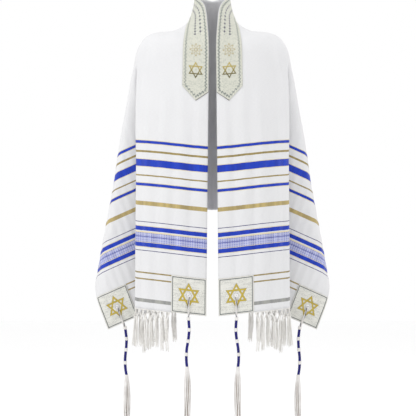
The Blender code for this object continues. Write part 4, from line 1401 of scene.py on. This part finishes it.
def wound_stretch(cord_at, above, below):
    """The cords between two knots, and the thread wound round them."""
    inside = cord_at(np.linspace(above + CORE_INSET, below - CORE_INSET, 8))
    winds = max(LEAST_WINDS, round((below - above - 2 * WIND_INSET) / WIND_PITCH))
    wound = cord_at(np.linspace(above + WIND_INSET, below - WIND_INSET, winds * WIND_STEPS))
    turns = round_cord(np.linspace(0.0, 2 * math.pi * winds, winds * WIND_STEPS))
    winding = tubes([wound + WIND_RADIUS * turns], WIND_THREAD, 5, (0.0, 0.0, 1.0))
    return tubes([inside], CORE_RADIUS, 8, FORWARD), winding


def loose_strands(base, count, begin_at, end_at, rng):
    paths = []
    for k in range(count):
        around = 2 * math.pi * (k + 0.4) / count
        outward = math.cos(around) * ACROSS + math.sin(around) * FORWARD
        end = end_at * rng.uniform(*STRAND_SPREADS)
        length = TASSEL_LENGTH * rng.uniform(*STRAND_LENGTHS)
        bend = rng.uniform(-STRAND_BEND, STRAND_BEND)
        s = np.linspace(0.0, 1.0, STRAND_STEPS)[:, None]
        reach = begin_at + (end - begin_at) * (1 - (1 - s) ** 5)
        paths.append(base + reach * outward + bend * np.sin(4.4 * s) * ACROSS + s * length * DOWN)
    return tubes(paths, np.linspace(*STRAND_RADII, STRAND_STEPS), 6, FORWARD)


print(f"windings {WIND_PITCH * 1000:.1f} mm apart, strands {TASSEL_LENGTH * 100:.1f} cm long")

# %% [markdown]
# The cord leans and sways a little on its way down. The same tassel is mirrored for the other side, and
# each of its four colours is a piece of its own.

# %% Corded tassels
FIRST_KNOT = 0.0105
KNOT_DROPS = (0.0, 0.0278, 0.0558, 0.0888, 0.1235)
CORD_LEAN = {"inner": (-0.030, -0.010), "outer": (0.030, -0.010)}
CORD_SWAY, SWAY_WAVE = 0.0026, 52.0


def corded_tassel(which, eyelet_v, rng):
    point, normal, down = (value[0] for value in cloth_frame(np.array([EYELET_U]), np.array([eyelet_v])))
    way = unit(np.array([*CORD_LEAN[which], -1.0]))
    start = point + (half_patch + FIRST_KNOT) * down

    def cord_at(run):
        run = np.asarray(run, float).reshape(-1, 1)
        return start + run * way + CORD_SWAY * np.sin(SWAY_WAVE * run) * ACROSS

    white = eyelet_loop(point, normal, down)
    grey = white.pop(GREY_CORD)
    for drop in KNOT_DROPS:
        white += tied_knot(cord_at(drop)[0], way)
    windings = []
    for above, below in zip(KNOT_DROPS, KNOT_DROPS[1:]):
        core, winding = wound_stretch(cord_at, above, below)
        white.append(core)
        windings.append(winding)
    base = cord_at(KNOT_DROPS[-1])[0]
    white.append(loose_strands(base, 9, 0.0024, 0.0080, rng))
    # Painted shade: the inner strands get the taupe thread for the shade inside the brush.
    shaded_strands = loose_strands(base, 5, 0.0011, 0.0038, rng)
    return (
        ("white_cords", merged(white), cord_thread),
        ("navy_windings", merged(windings), navy_thread),
        ("grey_cord", grey, grey_thread),
        ("taupe_strands", shaded_strands, shaded_strand_thread),
    )


for which, eyelet_v in CORNERS:
    parts = corded_tassel(which, eyelet_v, np.random.default_rng(7))
    for side_name, sign in SIDES:
        for kind, mesh, finish in parts:
            piece = add_piece(f"{kind}_{side_name}_{which}", *for_side(sign, *mesh), finish)
            declare(piece, f"tassel_cord_{side_name}_{which}" if kind == "white_cords" else None)
print(f"{len(KNOT_DROPS)} knots on each cord, {KNOT_DROPS[-1] * 100:.1f} cm from first to last")
